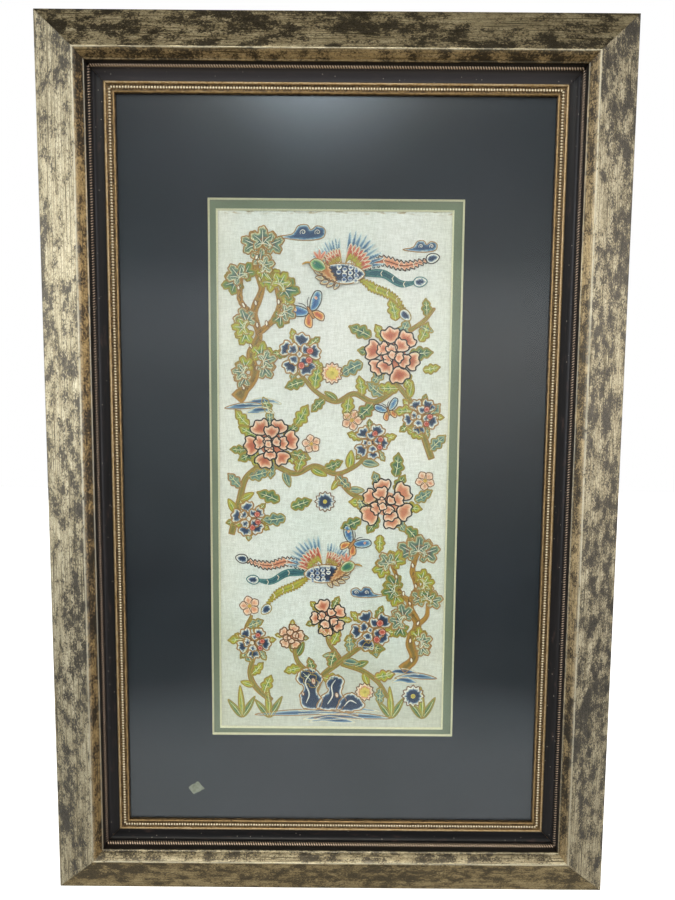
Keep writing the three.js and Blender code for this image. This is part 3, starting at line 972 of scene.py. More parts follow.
def shape(work, outline, shades, edge, lean=20.0, level=0, width=1.15, fan=None):
    """A filled shape with its couched outline, if it has one."""
    fill(work, outline, shades, lean, level, fan)
    if edge:
        cord(work, outline, edge, width, True, level)


print("cord rings", CORD_STEP, "mm apart")

# %% [markdown]
# ## Motifs
# Each motif is a short recipe of filled shapes and cords, so that the same peony, leaf or feather can be
# worked at many sizes and leans, as an embroiderer repeats a pattern sheet. Petals pale toward their rims,
# leaves turn from ochre edges to teal hearts, and trunks carry tan cords and small knots. A motif's shades
# are steps of a distance from the rim in mm and a colour, and the stitches blend between them.

# %% Thread shades
INK, TAN, OCHRE, BROWN, CREAM = "#2A211C", "#B08648", "#AB9238", "#855A34", "#E9E2C4"
CORAL = ((0, "#F1D8BE"), (1.7, "#EECBAA"), (2.7, "#DFA27C"), (4.0, "#C67750"), (6.0, "#AE5434"))
PEACH = ((0, "#F6E6CF"), (1.4, "#F0CFAE"), (2.6, "#E0A87F"), (4.2, "#C97C58"))
ROSE = ((0, "#EFC4A8"), (0.9, "#D0714F"), (2.2, "#AE4630"), (4.0, "#7E2C1D"))
NAVY = ((0, "#F1EEDB"), (1.3, "#E9E9DA"), (1.9, "#8A9FAC"), (2.5, "#294664"), (4.0, "#162B46"))
SKY = ((0, "#E2E8DC"), (0.8, "#A3BBC2"), (1.6, "#4C7694"), (2.8, "#213E60"))
LIME = ((0, "#BCAA38"), (1.4, "#B1AE34"), (2.4, "#97A336"), (3.4, "#6A8A3C"), (4.8, "#3C6E4C"))
SAGE = ((0, "#C9C79C"), (1.0, "#8FA283"), (2.2, "#5F8270"), (3.6, "#3E6660"))
FERN = ((0, "#9C9B40"), (1.3, "#7E8C3E"), (2.2, "#557841"), (3.4, "#376047"), (4.8, "#27524E"))
TEAL = ((0, "#7FA694"), (0.8, "#3C7674"), (2.0, "#1F525C"))
MOSS = ((0, "#E4DCB6"), (0.8, "#DAD5AC"), (1.5, "#84936B"), (2.6, "#5A7760"), (4.0, "#456358"),
        (5.2, "#765C46"))
BARK = ((0, "#A8963C"), (1.3, "#96873A"), (2.4, "#7C7434"), (4.0, "#686830"))
GNARL = ((0, "#BD8A30"), (1.4, "#B4852C"), (2.4, "#947428"), (3.6, "#776428"))
GOLD = ((0, "#C99B5A"), (1.2, "#B98345"), (2.4, "#A87238"))
PLUME = ((0, "#F4DDC4"), (0.8, "#E8AF8A"), (2.0, "#D08660"), (4.0, "#BC6847"))
DAISY = ((0, "#F6EBD2"), (1.5, "#F2D8B8"), (2.3, "#C86A4A"), (3.2, "#D9C35C"))
SUNRISE = ((0, "#F2E9CC"), (1.0, "#E8B24E"), (2.2, "#C96F3A"), (4.5, "#8E2F28"))
LAKE = ((0, "#EFEBD6"), (1.2, "#9FBFC6"), (2.4, "#3F76A2"), (5, "#22467A"))
print("rim to heart of a coral petal", CORAL[-1][0], "mm")


# %% Petal, leaf and strip outlines
def oval(length, width, count=24, tip=0.0):
    """A leaf or feather shape from the origin along +Z, with its far end drawn out to a point by tip."""
    turn = np.linspace(0, 2 * math.pi, count, endpoint=False)
    up = 0.5 - 0.5 * np.cos(turn)
    side = np.sin(turn) * (1 - tip * up ** 2)
    return np.stack([0.5 * width * side, length * up], 1)


def petal(length, width, lobes=3, frill=0.09):
    """A petal from the origin along +Z, broad and frilled at its far end."""
    turn = np.linspace(0, 2 * math.pi, 48, endpoint=False)
    up = 0.5 - 0.5 * np.cos(turn)
    end = turn - math.pi
    wave = frill * length * np.cos(lobes * 2.6 * end) * np.exp(-(end / 1.25) ** 2)
    side = 0.5 * width * np.sin(turn) * (0.5 + 0.62 * up)
    return np.stack([side, length * up + wave], 1)


def serrate(outline, teeth, depth):
    """Cuts pointed teeth into an outline."""
    line = even_line(outline, 0.8, True)
    ahead = np.roll(line, -1, 0) - np.roll(line, 1, 0)
    out = np.stack([ahead[:, 1], -ahead[:, 0]], 1) / np.maximum(np.hypot(*ahead.T), 1e-9)[:, None]
    share = (np.arange(len(line)) * teeth / len(line)) % 1.0
    return line + out * (depth * (share - 0.5))[:, None]


def band(line, widths):
    """A closed strip of changing width along a line."""
    line = curve(line, 1.6)
    ahead = np.gradient(line, axis=0)
    out = np.stack([-ahead[:, 1], ahead[:, 0]], 1) / np.maximum(np.hypot(*ahead.T), 1e-9)[:, None]
    spread = np.interp(np.linspace(0, 1, len(line)), np.linspace(0, 1, len(widths)), widths) / 2
    return np.vstack([line + out * spread[:, None], (line - out * spread[:, None])[::-1]])


print("a petal outline has", len(petal(10, 8)), "points")


# %% [markdown]
# ### Leaves and stems
# Plain leaves are pointed ovals with one vein. The flowers' own leaves are cut into rounded lobes, and the
# trees carry vine leaves by threes. A stem is a strip of changing width, and on a trunk the width wanders
# and pale knots and short dark stitches lie on it. A spray is a stem with leaves by turns on either side.

# %% Leaves
def bearing(step):
    """The angle in degrees that turns +Z to a direction."""
    return math.degrees(math.atan2(-step[0], step[1]))


def leaf(work, at, angle, length, width, shades):
    """A pointed leaf with a pale vein, its stitches leaning forward."""
    width = width or length * 0.54
    outline = placed(oval(length, width, tip=0.55), at, angle)
    shape(work, outline, shades, OCHRE, 128 + angle, 0, 1.0)
    vein = placed([(0, length * 0.08), (length * 0.03, length * 0.5), (0, length * 0.84)], at, angle)
    cord(work, curve(vein), "#E3E2AE", 0.75, False, 2, True)


def ragged_leaf(work, at, angle, length, shades, edge, level, bend=0.0):
    """A long flower leaf cut into rounded side lobes, with a pale vein and ribs."""
    up = np.linspace(0, 1, 60)
    swell = np.sin(math.pi * up ** 0.8) ** 0.75
    half = length * 0.30 * swell * (0.58 + 0.42 * np.abs(np.sin(3.1 * math.pi * up + 0.5)))
    drift = bend * length * 0.25 * up ** 2
    right_side = np.stack([drift + half, up * length], 1)
    left_side = np.stack([drift - half, up * length], 1)
    outline = placed(np.vstack([right_side, left_side[::-1]]), at, angle)
    shape(work, outline, shades, edge, 122 + angle, level, 1.3)
    vein = np.stack([drift, up * length * 0.92], 1)[::6]
    cord(work, curve(placed(vein, at, angle)), "#E9E6B8", 0.85, False, level + 2, True)
    for share, side in ((0.34, 1), (0.34, -1), (0.62, 1), (0.62, -1)):
        root = (bend * length * 0.25 * share ** 2, share * length * 0.92)
        end = (root[0] + side * length * 0.13, root[1] + length * 0.12)
        cord(work, placed([root, end], at, angle), "#D5DBA2", 0.7, False, level + 2, True)


def lobed_leaf(work, at, angle, size, shades, edge, level):
    """A vine leaf of five rounded lobes with a notch at its stalk, a pale rim and ribs."""
    turn = np.linspace(0, 2 * math.pi, 80, endpoint=False)
    lobes = np.abs(np.cos(2.5 * turn)) ** 0.75
    reach = size * (0.56 + 0.46 * lobes) * (1 - 0.38 * np.exp(-((turn - math.pi) / 0.5) ** 2))
    reach = reach * (1 + 0.05 * np.sin(15 * turn))
    outline = placed(np.stack([reach * np.sin(turn), reach * np.cos(turn)], 1), at, angle)
    shape(work, outline, shades, edge, 40 + angle, level, 1.25)
    for k in range(-2, 3):
        tip = placed([(size * 0.06 * k, size * 0.72)], (0, 0), 72 * k)[0]
        rib = placed(curve([(0, -size * 0.34), tip * 0.45 + (0, -size * 0.1), tip]), at, angle)
        cord(work, rib, "#EEEBD2", 0.8, False, level + 2, True)


def vine_leaves(work, at, angle, size):
    """Three vine leaves fanned from one stalk, the middle one on top."""
    ways = [(MOSS, TAN), (LIME, OCHRE), (FERN, OCHRE)]
    for order, lean in enumerate((56, -56, 0)):
        shades, edge = ways[needle.choice((0, 0, 1, 1, 2))]
        centre = placed([(0, size * (0.9 if lean else 0.8))], at, angle + lean)[0]
        size_now = size * needle.uniform(0.86, 1.05)
        lobed_leaf(work, centre, angle + lean * 1.2, size_now, shades, edge, 1 + order)


print("+Z turned to the right is", bearing((1, 0)), "degrees")


# %% Stems and sprays
def stem(work, line, widths, shades=BARK, level=0, knots=0):
    """A stem or branch of changing width. A trunk is knobbly, with pale knots and dark bark stitches."""
    if knots:
        fine = np.interp(np.linspace(0, 1, 26), np.linspace(0, 1, len(widths)), widths)
        widths = [w * needle.uniform(0.78, 1.2) for w in fine]
    shape(work, band(line, widths), shades, TAN, 55, level, 1.25 if knots else 1.0)
    middle_line = curve(line, 2.0)
    for k in range(knots):
        spot = middle_line[int((k + 0.6) / (knots + 0.4) * len(middle_line))]
        ring = placed(oval(5.4, 2.8, 14), spot + (needle.uniform(-1, 1), 0), needle.uniform(-30, 30))
        shape(work, ring, ((0, "#F1ECD8"), (2, "#F1ECD8")), BROWN, 0, level + 3, 0.8)
    for k in range(knots * 4):
        spot = middle_line[needle.randrange(2, len(middle_line) - 2)] + (needle.uniform(-2.2, 2.2), 0)
        scar = placed([(0, -2), (0, 2)], spot, needle.uniform(-50, 50))
        cord(work, scar, "#6B4A20", 0.7, False, level + 1.5, True)


def spray(work, line, widths, size, every, start=0.1):
    """A branch with ragged and plain leaves sprung from it by turns on either side."""
    stem(work, line, widths)
    path = curve(line, 1.0)
    side = 1 if needle.random() < 0.5 else -1
    for spot in range(int(len(path) * start), len(path) - 4, every):
        side = -side
        angle = bearing(path[spot + 3] - path[spot]) - side * needle.uniform(38, 66)
        root = placed([(0, 1.5)], path[spot], angle)[0]
        greens = needle.choice((LIME, LIME, FERN, SAGE))
        length = size * needle.uniform(0.78, 1.08)
        if needle.random() < 0.62:
            edge = OCHRE if needle.random() < 0.7 else TAN
            ragged_leaf(work, root, angle, length, greens, edge, 0, needle.uniform(-0.8, 0.8))
        else:
            leaf(work, root, angle, length * 0.8, None, greens)


def loose_leaves(work, places):
    """Ragged leaves in mixed greens, from their places, leans and lengths."""
    for x, z, angle, size in places:
        greens = needle.choice((LIME, FERN, SAGE))
        ragged_leaf(work, (x, z), angle, size, greens, OCHRE, 0, needle.uniform(-1, 1))


print("a straight 30 mm stem has", len(band([(0, 0), (0, 30)], [4, 2])), "points round it")

# %% [markdown]
# ### Flowers
# The large flowers are rounds of scalloped petals, each round smaller, higher and turned between the petals
# of the one before, over a ring of leaves. The blue ones carry three coral buds. Small blossoms and star
# flowers fill the gaps. A round is listed as its number of petals, then its length, width and start as
# shares of the flower's size, and its level.

# %% Large flowers
FULL = ((6, 0.56, 0.84, 0.42, 1), (4, 0.46, 0.66, 0.20, 3), (3, 0.32, 0.46, 0.04, 5))
HALF = ((5, 0.62, 0.90, 0.36, 1), (4, 0.46, 0.64, 0.12, 3))


def peony(work, at, size, turn, shades=CORAL, edge=INK, leafy=6, rounds=FULL):
    """Rounds of broad scalloped petals with pale rims, turned between each other over a ring of leaves."""
    for k in range(leafy):
        lean = turn + 360 * (k + 0.3) / leafy + needle.uniform(-8, 8)
        root = placed([(0, size * 0.58)], at, lean)[0]
        length = size * needle.uniform(0.66, 0.86)
        ragged_leaf(work, root, lean, length, (LIME, FERN, SAGE)[k % 3], OCHRE, -1)
    fill(work, placed(oval(size * 0.9, size * 0.9), np.asarray(at) - (0, size * 0.45)), shades[-2:], 30)
    for count, length, width, start, level in rounds:
        for k in range(count):
            angle = turn + 360 * (k + 0.5 * (level // 2)) / count + needle.uniform(-8, 8)
            base = placed([(0, size * start)], at, angle)[0]
            size_now = size * needle.uniform(0.88, 1.10)
            outline = placed(petal(length * size_now, width * size_now), base, angle)
            shape(work, outline, shades, edge, level=level + (k % 2) * 0.6, width=1.35, fan=base)
    heart = placed(petal(size * 0.30, size * 0.34, 2), np.asarray(at) - (0, size * 0.15), turn)
    shape(work, heart, shades, edge, 90, 7.5, 1.1)


def cluster(work, at, size, turn):
    """A navy flower with broad white rims and three coral buds."""
    peony(work, at, size, turn, NAVY, TAN, 5, HALF)
    for k in range(3):
        spot = placed([(0, size * 0.36)], at, turn + 190 + k * 50)[0]
        ring = placed(oval(size * 0.32, size * 0.30, 14), spot, turn + 190 + k * 50)
        shape(work, ring, ((0, "#F1D9C6"), (0.6, "#D96F52"), (1.6, "#B9482F")), "#8E3A24", 0, 9, 0.8)


print("petals of a large flower", sum(around[0] for around in FULL), "and of a small one",
      sum(around[0] for around in HALF))


# %% Small flowers
STAR_POINTS = 12
BLOSSOM_PETALS = 5


def star_flower(work, at, size, shades=DAISY):
    """A small flower with a toothed rim and a round eye."""
    around = np.linspace(0, 2 * math.pi, STAR_POINTS * 4, endpoint=False)
    reach = size * (0.88 + 0.12 * np.cos(STAR_POINTS * around))
    outline = placed(np.stack([reach * np.sin(around), reach * np.cos(around)], 1), at)
    shape(work, outline, shades, BROWN, 10, 1, 1.0, fan=at)
    eye = placed(oval(size * 0.5, size * 0.5, 14), np.asarray(at) - (0, size * 0.25))
    shape(work, eye, ((0, "#D8C65A"), (1.2, "#B9A73E")), None, 40, 3)


def blossom(work, at, size, turn, shades=PEACH):
    """A five-petalled blossom."""
    for k in range(BLOSSOM_PETALS):
        outline = placed(petal(size, size * 0.95, 2, 0.05), at, turn + 360 // BLOSSOM_PETALS * k)
        shape(work, outline, shades, BROWN, level=1 + 0.5 * (k % 2), width=0.85, fan=at)
    eye = placed(oval(size * 0.4, size * 0.4, 12), np.asarray(at) - (0, size * 0.2))
    shape(work, eye, ((0, "#D8B94A"), (1, "#C79A38")), None, 40, 4)


print("a blossom has", BLOSSOM_PETALS, "petals and a star flower", STAR_POINTS, "points")


# %% [markdown]
# ### Birds and butterflies
# A bird is built from its tail to its beak: a far wing, three plumes that end in eyes, a near wing of four
# rows of feathers, a scaled body, a ruff, a breast, a head with its crest, and a beak. Every shape is drawn
# facing right in mm, and put() turns it, sizes it and mirrors it into place. A butterfly is drawn as one
# half and mirrored.

# %% Feathers
WING_ROWS = (
    # share of the sweep, feathers, length, width, shades, outline, extra level
    (1.0, 10, 37, 5.6, SKY, None, 0),
    (0.95, 8, 24, 6.4, ROSE, CREAM, 1.5),
    (0.9, 6, 15, 6.4, LIME, TAN, 3),
    (0.85, 4, 9, 6.0, NAVY, TAN, 4.5),
)
TAILS = (
    # line, width, shades, outline, teeth
    ([(-12, 5), (-32, 15), (-54, 12), (-78, 20)], 8.5, PLUME, INK, 34),
    ([(-12, 1), (-34, 3), (-52, -5), (-68, -2)], 7.0, TEAL, "#3E7C7C", 0),
    ([(-12, -3), (-27, -11), (-44, -17), (-58, -29)], 7.5, LIME, OCHRE, 34),
)


def feathers(work, at, start, sweep, count, length, width, shades, edge, level):
    """A fan of feathers about a point, from one angle through a sweep in degrees."""
    for k in range(count):
        share = k / (count - 1)
        outline = placed(oval(length, width, 20, 0.35), at, start + sweep * share)
        shape(work, outline, shades, edge, 90 + start + sweep * share, level + 0.35 * (k % 2), 0.75)


def plume(work, line, width, shades, edge, teeth, level):
    """A long tail plume with a middle rib and, if asked, a toothed rim."""
    outline = band(line, [width * 0.35, width, width * 0.95, width * 0.8, width * 0.2])
    if teeth:
        outline = serrate(outline, teeth, width * 0.42)
    shape(work, outline, shades, edge, 70, level, 0.95)
    cord(work, curve(line), edge, 0.6, False, level + 2.5, True)


print("feathers in a wing", sum(row[1] for row in WING_ROWS))


# %% Bird
def bird(work, at, size, angle, mirror=False):
    """A long-tailed garden bird with raised wings, drawn facing right."""
    def put(points):
        return placed(points, at, angle, size, mirror)

    def way(degrees):
        return angle - degrees if mirror else angle + degrees

    def wing(root, start, sweep, reach, level):
        turned = -sweep if mirror else sweep
        for part, count, length, width, shades, edge, more in WING_ROWS:
            feathers(work, put([root])[0], way(start), turned * part, count, length * reach * size,
                     width * reach * size, shades, edge, level + more)

    wing((8, 4), -4, -64, 0.82, 0)
    for line, width, shades, edge, teeth in TAILS:
        plume(work, put(line), width * size, shades, edge, teeth, 1)
        tip = np.asarray(line[-1], float)
        eye = placed(oval(13, 10, 24, 0.3), tip + (4, -1), bearing(tip - line[-2]))
        shape(work, put(eye), NAVY, edge, way(40), 3, 0.95)
        for share in (0.35, 0.55, 0.75):
            row = curve(line, 1.0)
            spot = row[int(share * len(row))]
            cord(work, put([spot + (-1.5, 2.6), spot, spot + (-1.5, -2.6)]), "#F3E8CC", 0.8, False, 4)
    wing((0, 5), 78, -78, 1.0, 3)
    body = put(curve([(-17, 1), (-6, 9), (10, 9), (22, 5), (23, -2), (10, -9), (-6, -8)], 1.0, True))
    shape(work, body, NAVY, TAN, way(20), 8, 1.0)
    for k in range(4):
        for j in range(3 - (k == 3)):
            scale = put(placed(oval(5.6, 5.8, 14, 0.2), (-6 + 5.6 * k, 4.2 - 4.8 * j + (k % 2) * 2.0), 95))
            shape(work, scale, ((0, "#F2EEDC"), (0.9, "#E9E6D2"), (1.5, "#3A6494"), (3, "#1F3A66")),
                  None, 0, 10)
    collar = curve([(4, -8), (18, -8), (25, -1), (22, 8)], 1.0)
    for k in range(7):
        ruff = placed(oval(8.5, 5.0, 16, 0.5), collar[3 + 5 * k], -150 + 22 * k)
        shape(work, put(ruff), ((0, "#EFE3BE"), (1.0, "#D9B982"), (2.0, "#7E96A0")), BROWN, 0, 7, 0.8)
    breast = put(serrate(curve([(9, -8), (20, -5), (27, 2), (20, 8), (15, 1)], 1.0, True), 13, 2.6))
    shape(work, breast, ((0, "#EBD6A8"), (1.2, "#CFA36A"), (2.6, "#B4713C")), BROWN, way(60), 10, 0.9)
    head = put(curve([(20, 3), (24, 10), (31, 12), (36, 8), (33, 2), (26, 0)], 1.0, True))
    shape(work, head, ((0, "#EFE9D2"), (1.2, "#B9C78E"), (2.6, "#5F9152"), (4, "#2B6A58")), TAN,
          way(30), 11, 0.95)
    cord(work, put([(35.5, 8), (40, 7.6), (43.5, 5.4)]), "#C79A45", 2.0 * size, False, 12, True)
    crest = put([(27, 11)])[0]
    feathers(work, crest, way(-40), -70 if mirror else 70, 3, 10 * size, 3.4 * size, ROSE, None, 11)
    eye = put(placed(oval(2.6, 2.6, 12), (31.5, 6.2)))
    shape(work, eye, ((0, "#F4EFD8"), (0.8, INK)), None, 0, 13)


print("tail plumes on a bird", len(TAILS))


# %% Butterfly
def butterfly(work, at, size, angle):
    """A butterfly seen from above: two pairs of banded wings, a body and feelers."""
    for side in (False, True):
        def put(points):
            return placed(placed(points, (0, 0), 0, size, side), at, angle)

        lower = put(curve([(1, -1), (9, -4), (14, -12), (9, -19), (3, -12)], 1.0, True))
        shape(work, lower, SUNRISE, BROWN, 60, 0, 0.9)
        upper = put(curve([(1, 1), (8, 12), (19, 19), (25, 14), (19, 4), (8, -2)], 1.0, True))
        shape(work, upper, LAKE, INK, 30, 1, 0.95)
        spot = put(placed(oval(5.2, 4.2, 14), (15.5, 8.4)))
        shape(work, spot, ((0, "#F3E2B8"), (0.9, "#D9694A"), (2, "#B23A2E")), None, 0, 3.5)
        cord(work, put(curve([(0.6, 5), (3, 12), (8, 17)])), INK, 0.7, False, 2, True)
    body = placed(oval(18, 4.2, 20), placed([(0, -11 * size)], at, angle)[0], angle, size)
    shape(work, body, GOLD, BROWN, 0, 4, 0.8)


print("butterfly wings run from", SUNRISE[-1][1], "and", LAKE[-1][1], "to pale rims")


# %% [markdown]
# ### Ground, rock and clouds
# The foot of the picture stands on layered strokes of ground. On it is a garden rock of three pierced crags
# with white veins. The clouds are flat scrolls with two swirls each. All of them are navy with pale rims.

# %% Ground and rock
VEINS = (((-12, 2), (-9, 12), (-13, 24), (-8, 33)), ((10, 1), (15, 10), (14, 20), (18, 27)),
         ((27, -1), (33, 5), (40, 2)))


def ground(work, at, width, mirror=False):
    """Layered tapering strokes of ground, navy in the middle and pale at their rims."""
    for k, (shift, drop, share) in enumerate(((0.14, 0, 0.66), (-0.12, -4.6, 0.84), (0.10, -9.0, 0.50))):
        half = width * share / 2
        points = [(-half, -2.6), (-half * 0.45, 2.0), (half * 0.1, 3.4), (half * 0.55, 1.6), (half, -2.8),
                  (half * 0.35, -1.8), (-half * 0.3, -3.2)]
        outline = curve([(x + shift * width, z + drop) for x, z in points], 1.0, True)
        shape(work, placed(outline, at, 0, 1, mirror), SKY, TAN if k == 1 else CREAM, 0, k * 0.5, 0.9)


def rock(work, at):
    """A pierced garden rock in navy with white rims and veins, standing on layered ground."""
    ground(work, placed([(4, -4)], at)[0], 128)
    ground(work, placed([(24, -7)], at)[0], 96, True)
    crags = [[(-14, -4), (-19, 8), (-15, 18), (-23, 28), (-14, 39), (-2, 37), (5, 27), (-1, 16), (4, 6),
              (1, -4)],
             [(0, -4), (3, 8), (10, 15), (8, 25), (17, 32), (27, 26), (24, 14), (29, 4), (22, -5)],
             [(20, -5), (24, 7), (33, 13), (43, 8), (48, -2), (34, -7)]]
    for k, crag in enumerate(crags):
        outline = placed(serrate(curve(crag, 1.0, True), 9, 1.2), at)
        shape(work, outline, NAVY, TAN, 80 - 20 * k, 1 + k, 1.25)
    for line in VEINS:
        cord(work, placed(curve(line), at), "#EDEBDB", 1.5, False, 4, True)
    for x, z, tall in ((-4, 22, 7), (20, 8, 5.5), (-15, 10, 4)):
        hole = placed(oval(tall, tall * 0.62, 16), placed([(x, z)], at)[0], 12)
        shape(work, hole, ((0, "#F0E9D2"), (1.4, "#E3C9A8"), (2.4, "#C97B58")), BROWN, 0, 5, 0.9)


print("veins on the rock", len(VEINS))


# %% Cloud
def cloud(work, at, size, mirror=False):
    """A scrolling cloud with a trailing tail."""
    outline = curve([(-26, -3), (-12, 0), (-6, 8), (3, 9), (7, 4), (13, 8), (21, 5), (20, -3), (10, -6),
                     (-8, -6)], 1.0, True)
    shape(work, placed(outline, at, 0, size, mirror), SKY, TAN, 15, 0, 0.9)
    for x in (-1, 14):
        swirl = [(x + 0.55 * t * math.cos(t * 1.7), 1.6 + 0.5 * t * math.sin(t * 1.7))
                 for t in np.linspace(0.6, 6, 18)]
        cord(work, placed(swirl, at, 0, size, mirror), "#F2EEDC", 0.8, False, 3, True)


print("motif recipes ready, first needle value", round(needle.random(), 3))

# %% [markdown]
# ## Floss and cord
# Silk floss lies untwisted, so light runs along each stitch and the fill glows where the stitches change
# direction. Fine ridges across the stitches give that, drawn at about twice the real thread's width so that
# they show. The couched cord is two plies, so its ridges run round it. In both, the colour is also painted
# darker in the grooves between ridges, as painted shade.

# %% Floss
FLOSS_MM = 0.8              # mm between ridges
silk_floss, tree, shader = new_finish("silk_floss_satin_stitch", Sheen_Weight=0.15, IOR=1.52)
dyed = add(tree, "Attribute", attribute_name="thread")
lay = add(tree, "Attribute", attribute_name="lay", out=1)
beside = add(tree, "SeparateXYZ", lay, out=1)
rounding = add(tree, "Math", beside, 1 / FLOSS_MM, operation="MULTIPLY")
rounding = add(tree, "Math", rounding, 0.5, operation="PINGPONG")
each = add(tree, "VectorMath", lay, (0.10, 1 / FLOSS_MM, 3.1), operation="MULTIPLY")
thread_tone = add(tree, "TexNoise", each, 1.0, 2.0, 0.6)
# Each thread's own tone, with painted shade darkening the grooves between stitches.
tone = add(tree, "MapRange", add(tree, "Math", rounding, 0.35, thread_tone, operation="MULTIPLY_ADD"),
           0.35, 0.75, 0.78, 1.10)
tinted = add(tree, "VectorMath", dyed, {"Scale": tone}, operation="SCALE")
tree.links.new(tinted, shader.inputs["Base Color"])
tree.links.new(add(tree, "MapRange", thread_tone, 0.3, 0.7, 0.38, 0.58), shader.inputs["Roughness"])
relief = add(tree, "Math", rounding, thread_tone)
tree.links.new(add(tree, "Bump", 0.6, 0.22 * MM, {"Height": relief}), shader.inputs["Normal"])
print("floss ridges", FLOSS_MM, "mm apart")

# %% Couched cord
PLY_MM = 1.3                # mm along the cord for one turn of a ply
couched_cord, tree, shader = new_finish("silk_cord_two_ply", Roughness=0.6)
dyed = add(tree, "Attribute", attribute_name="thread")
lay = add(tree, "Attribute", attribute_name="lay", out=1)
slant = add(tree, "VectorMath", lay, (1 / PLY_MM, 0.5, 0), operation="DOT_PRODUCT")
ply = add(tree, "Math", slant, 0.5, operation="PINGPONG")
# Painted shade: the colour darkens in the grooves between the plies.
tone = add(tree, "MapRange", ply, 0.0, 0.5, 0.76, 1.12)
tinted = add(tree, "VectorMath", dyed, {"Scale": tone}, operation="SCALE")
tree.links.new(tinted, shader.inputs["Base Color"])
tree.links.new(add(tree, "Bump", 0.7, 0.3 * MM, {"Height": ply}), shader.inputs["Normal"])
print("cord plies", PLY_MM, "mm apart")

# %% [markdown]
# ## The embroidered picture
# Birds, butterflies, flowering sprays and two gnarled trees are scattered evenly over the silk above a
# garden rock, as such panels usually are. The places are in mm from the middle of the silk. Each
# group of motifs becomes one piece, and rides on the silk that it is sewn to.

# %% Trees
tree_left = Work("stitched_tree_left")
stem(tree_left, [(-96, 78), (-86, 90), (-78, 104), (-82, 122), (-74, 140), (-79, 162), (-71, 186),
                 (-77, 208), (-70, 228)], [11, 9, 8.5, 8, 7, 6.5, 6, 5, 3], GNARL, knots=7)
stem(tree_left, [(-80, 160), (-92, 174), (-91, 196)], [5, 4.6, 2.4], GNARL, level=1, knots=2)
stem(tree_left, [(-75, 142), (-61, 154), (-54, 170), (-57, 186)], [5, 4.6, 4.2, 2.4], GNARL,
     level=1, knots=2)
for x, z, angle, size in (
        (-70, 222, 0, 13), (-89, 192, 40, 11), (-57, 184, -30, 12), (-54, 166, -115, 10),
        (-82, 148, 88, 11), (-75, 206, -75, 10), (-75, 114, -75, 11), (-84, 104, 85, 9.5)):
    vine_leaves(tree_left, (x, z), angle, size)
ground(tree_left, (-78, 76), 56)

tree_right = Work("stitched_tree_right")
stem(tree_right, [(72, -198), (84, -186), (80, -168), (87, -150), (79, -132), (86, -112), (81, -94),
                  (86, -76)], [11, 9, 8.5, 8, 7, 6, 5, 3], GNARL, knots=6)
stem(tree_right, [(81, -128), (68, -116), (65, -100), (60, -88)], [5, 4.6, 4, 2.4], GNARL,
     level=1, knots=2)
stem(tree_right, [(85, -152), (96, -142), (97, -128)], [5, 4, 2.4], GNARL, level=1)
for x, z, angle, size in (
        (86, -80, -5, 12.5), (60, -92, 35, 11), (95, -128, -10, 9.5), (68, -114, 100, 10),
        (88, -108, -80, 9), (76, -148, 80, 11), (86, -170, -70, 10)):
    vine_leaves(tree_right, (x, z), angle, size)
ground(tree_right, (80, -200), 52, True)
print("trees stitched, with", len(tree_left.faces) + len(tree_right.faces), "faces")

# %% Upper spray
upper_spray = Work("stitched_spray_upper")
spray(upper_spray, [(98, 20), (90, 42), (84, 64), (72, 82), (60, 96)], [6, 5.5, 5, 4.5, 4], 25, 14)
spray(upper_spray, [(60, 88), (40, 76), (20, 84), (2, 76), (-18, 86), (-34, 104)],
      [5, 5, 4.5, 4, 3.5, 2.5], 23, 13)
spray(upper_spray, [(74, 146), (88, 156), (98, 168)], [4, 3.5, 2], 18, 11, start=0.3)
loose_leaves(upper_spray, ((36, 140, 60, 24), (28, 114, 110, 25), (60, 156, 5, 22), (84, 136, -35, 20),
                           (88, 108, -85, 17)))
peony(upper_spray, (58, 122), 28, 12)
cluster(upper_spray, (86, 62), 18, 30)
cluster(upper_spray, (-34, 122), 21, 0)
blossom(upper_spray, (18, 58), 10, 50)
star_flower(upper_spray, (-2, 104), 11)
print("upper spray stitched, with", len(upper_spray.faces), "faces")

# %% Middle spray
middle_spray = Work("stitched_spray_middle")
spray(middle_spray, [(-102, -58), (-94, -24), (-88, -2), (-76, 10), (-64, 22)], [6, 6, 5.5, 5, 4], 22, 13)
spray(middle_spray, [(-58, 12), (-38, 4), (-18, 12), (2, 4), (22, 12), (36, 26)],
      [5, 4.6, 4.2, 4, 3.4, 2.4], 23, 14)
spray(middle_spray, [(4, 4), (16, -14), (34, -22), (50, -26)], [4.4, 4.2, 4, 3.6], 20, 14)
loose_leaves(middle_spray, (
    (-38, 52, -40, 24), (-64, 64, 12, 17), (-84, 52, 55, 20), (-86, 28, 100, 17), (-42, 24, -100, 20),
    (82, -22, -70, 20), (74, -50, -130, 22), (48, -58, 175, 18), (28, -42, 120, 22), (62, 2, -15, 24),
    (-54, -24, 60, 24), (-48, -40, 110, 24), (-42, -30, -70, 22)))
peony(middle_spray, (-62, 34), 26, 40)
peony(middle_spray, (54, -26), 27, 70, PEACH)
cluster(middle_spray, (38, 36), 18, 50)
cluster(middle_spray, (-84, -42), 18, 10)
blossom(middle_spray, (-22, 34), 9, 10)
blossom(middle_spray, (92, -2), 9.5, 30, CORAL)
star_flower(middle_spray, (-8, -24), 10.5, shades=NAVY)
print("middle spray stitched, with", len(middle_spray.faces), "faces")

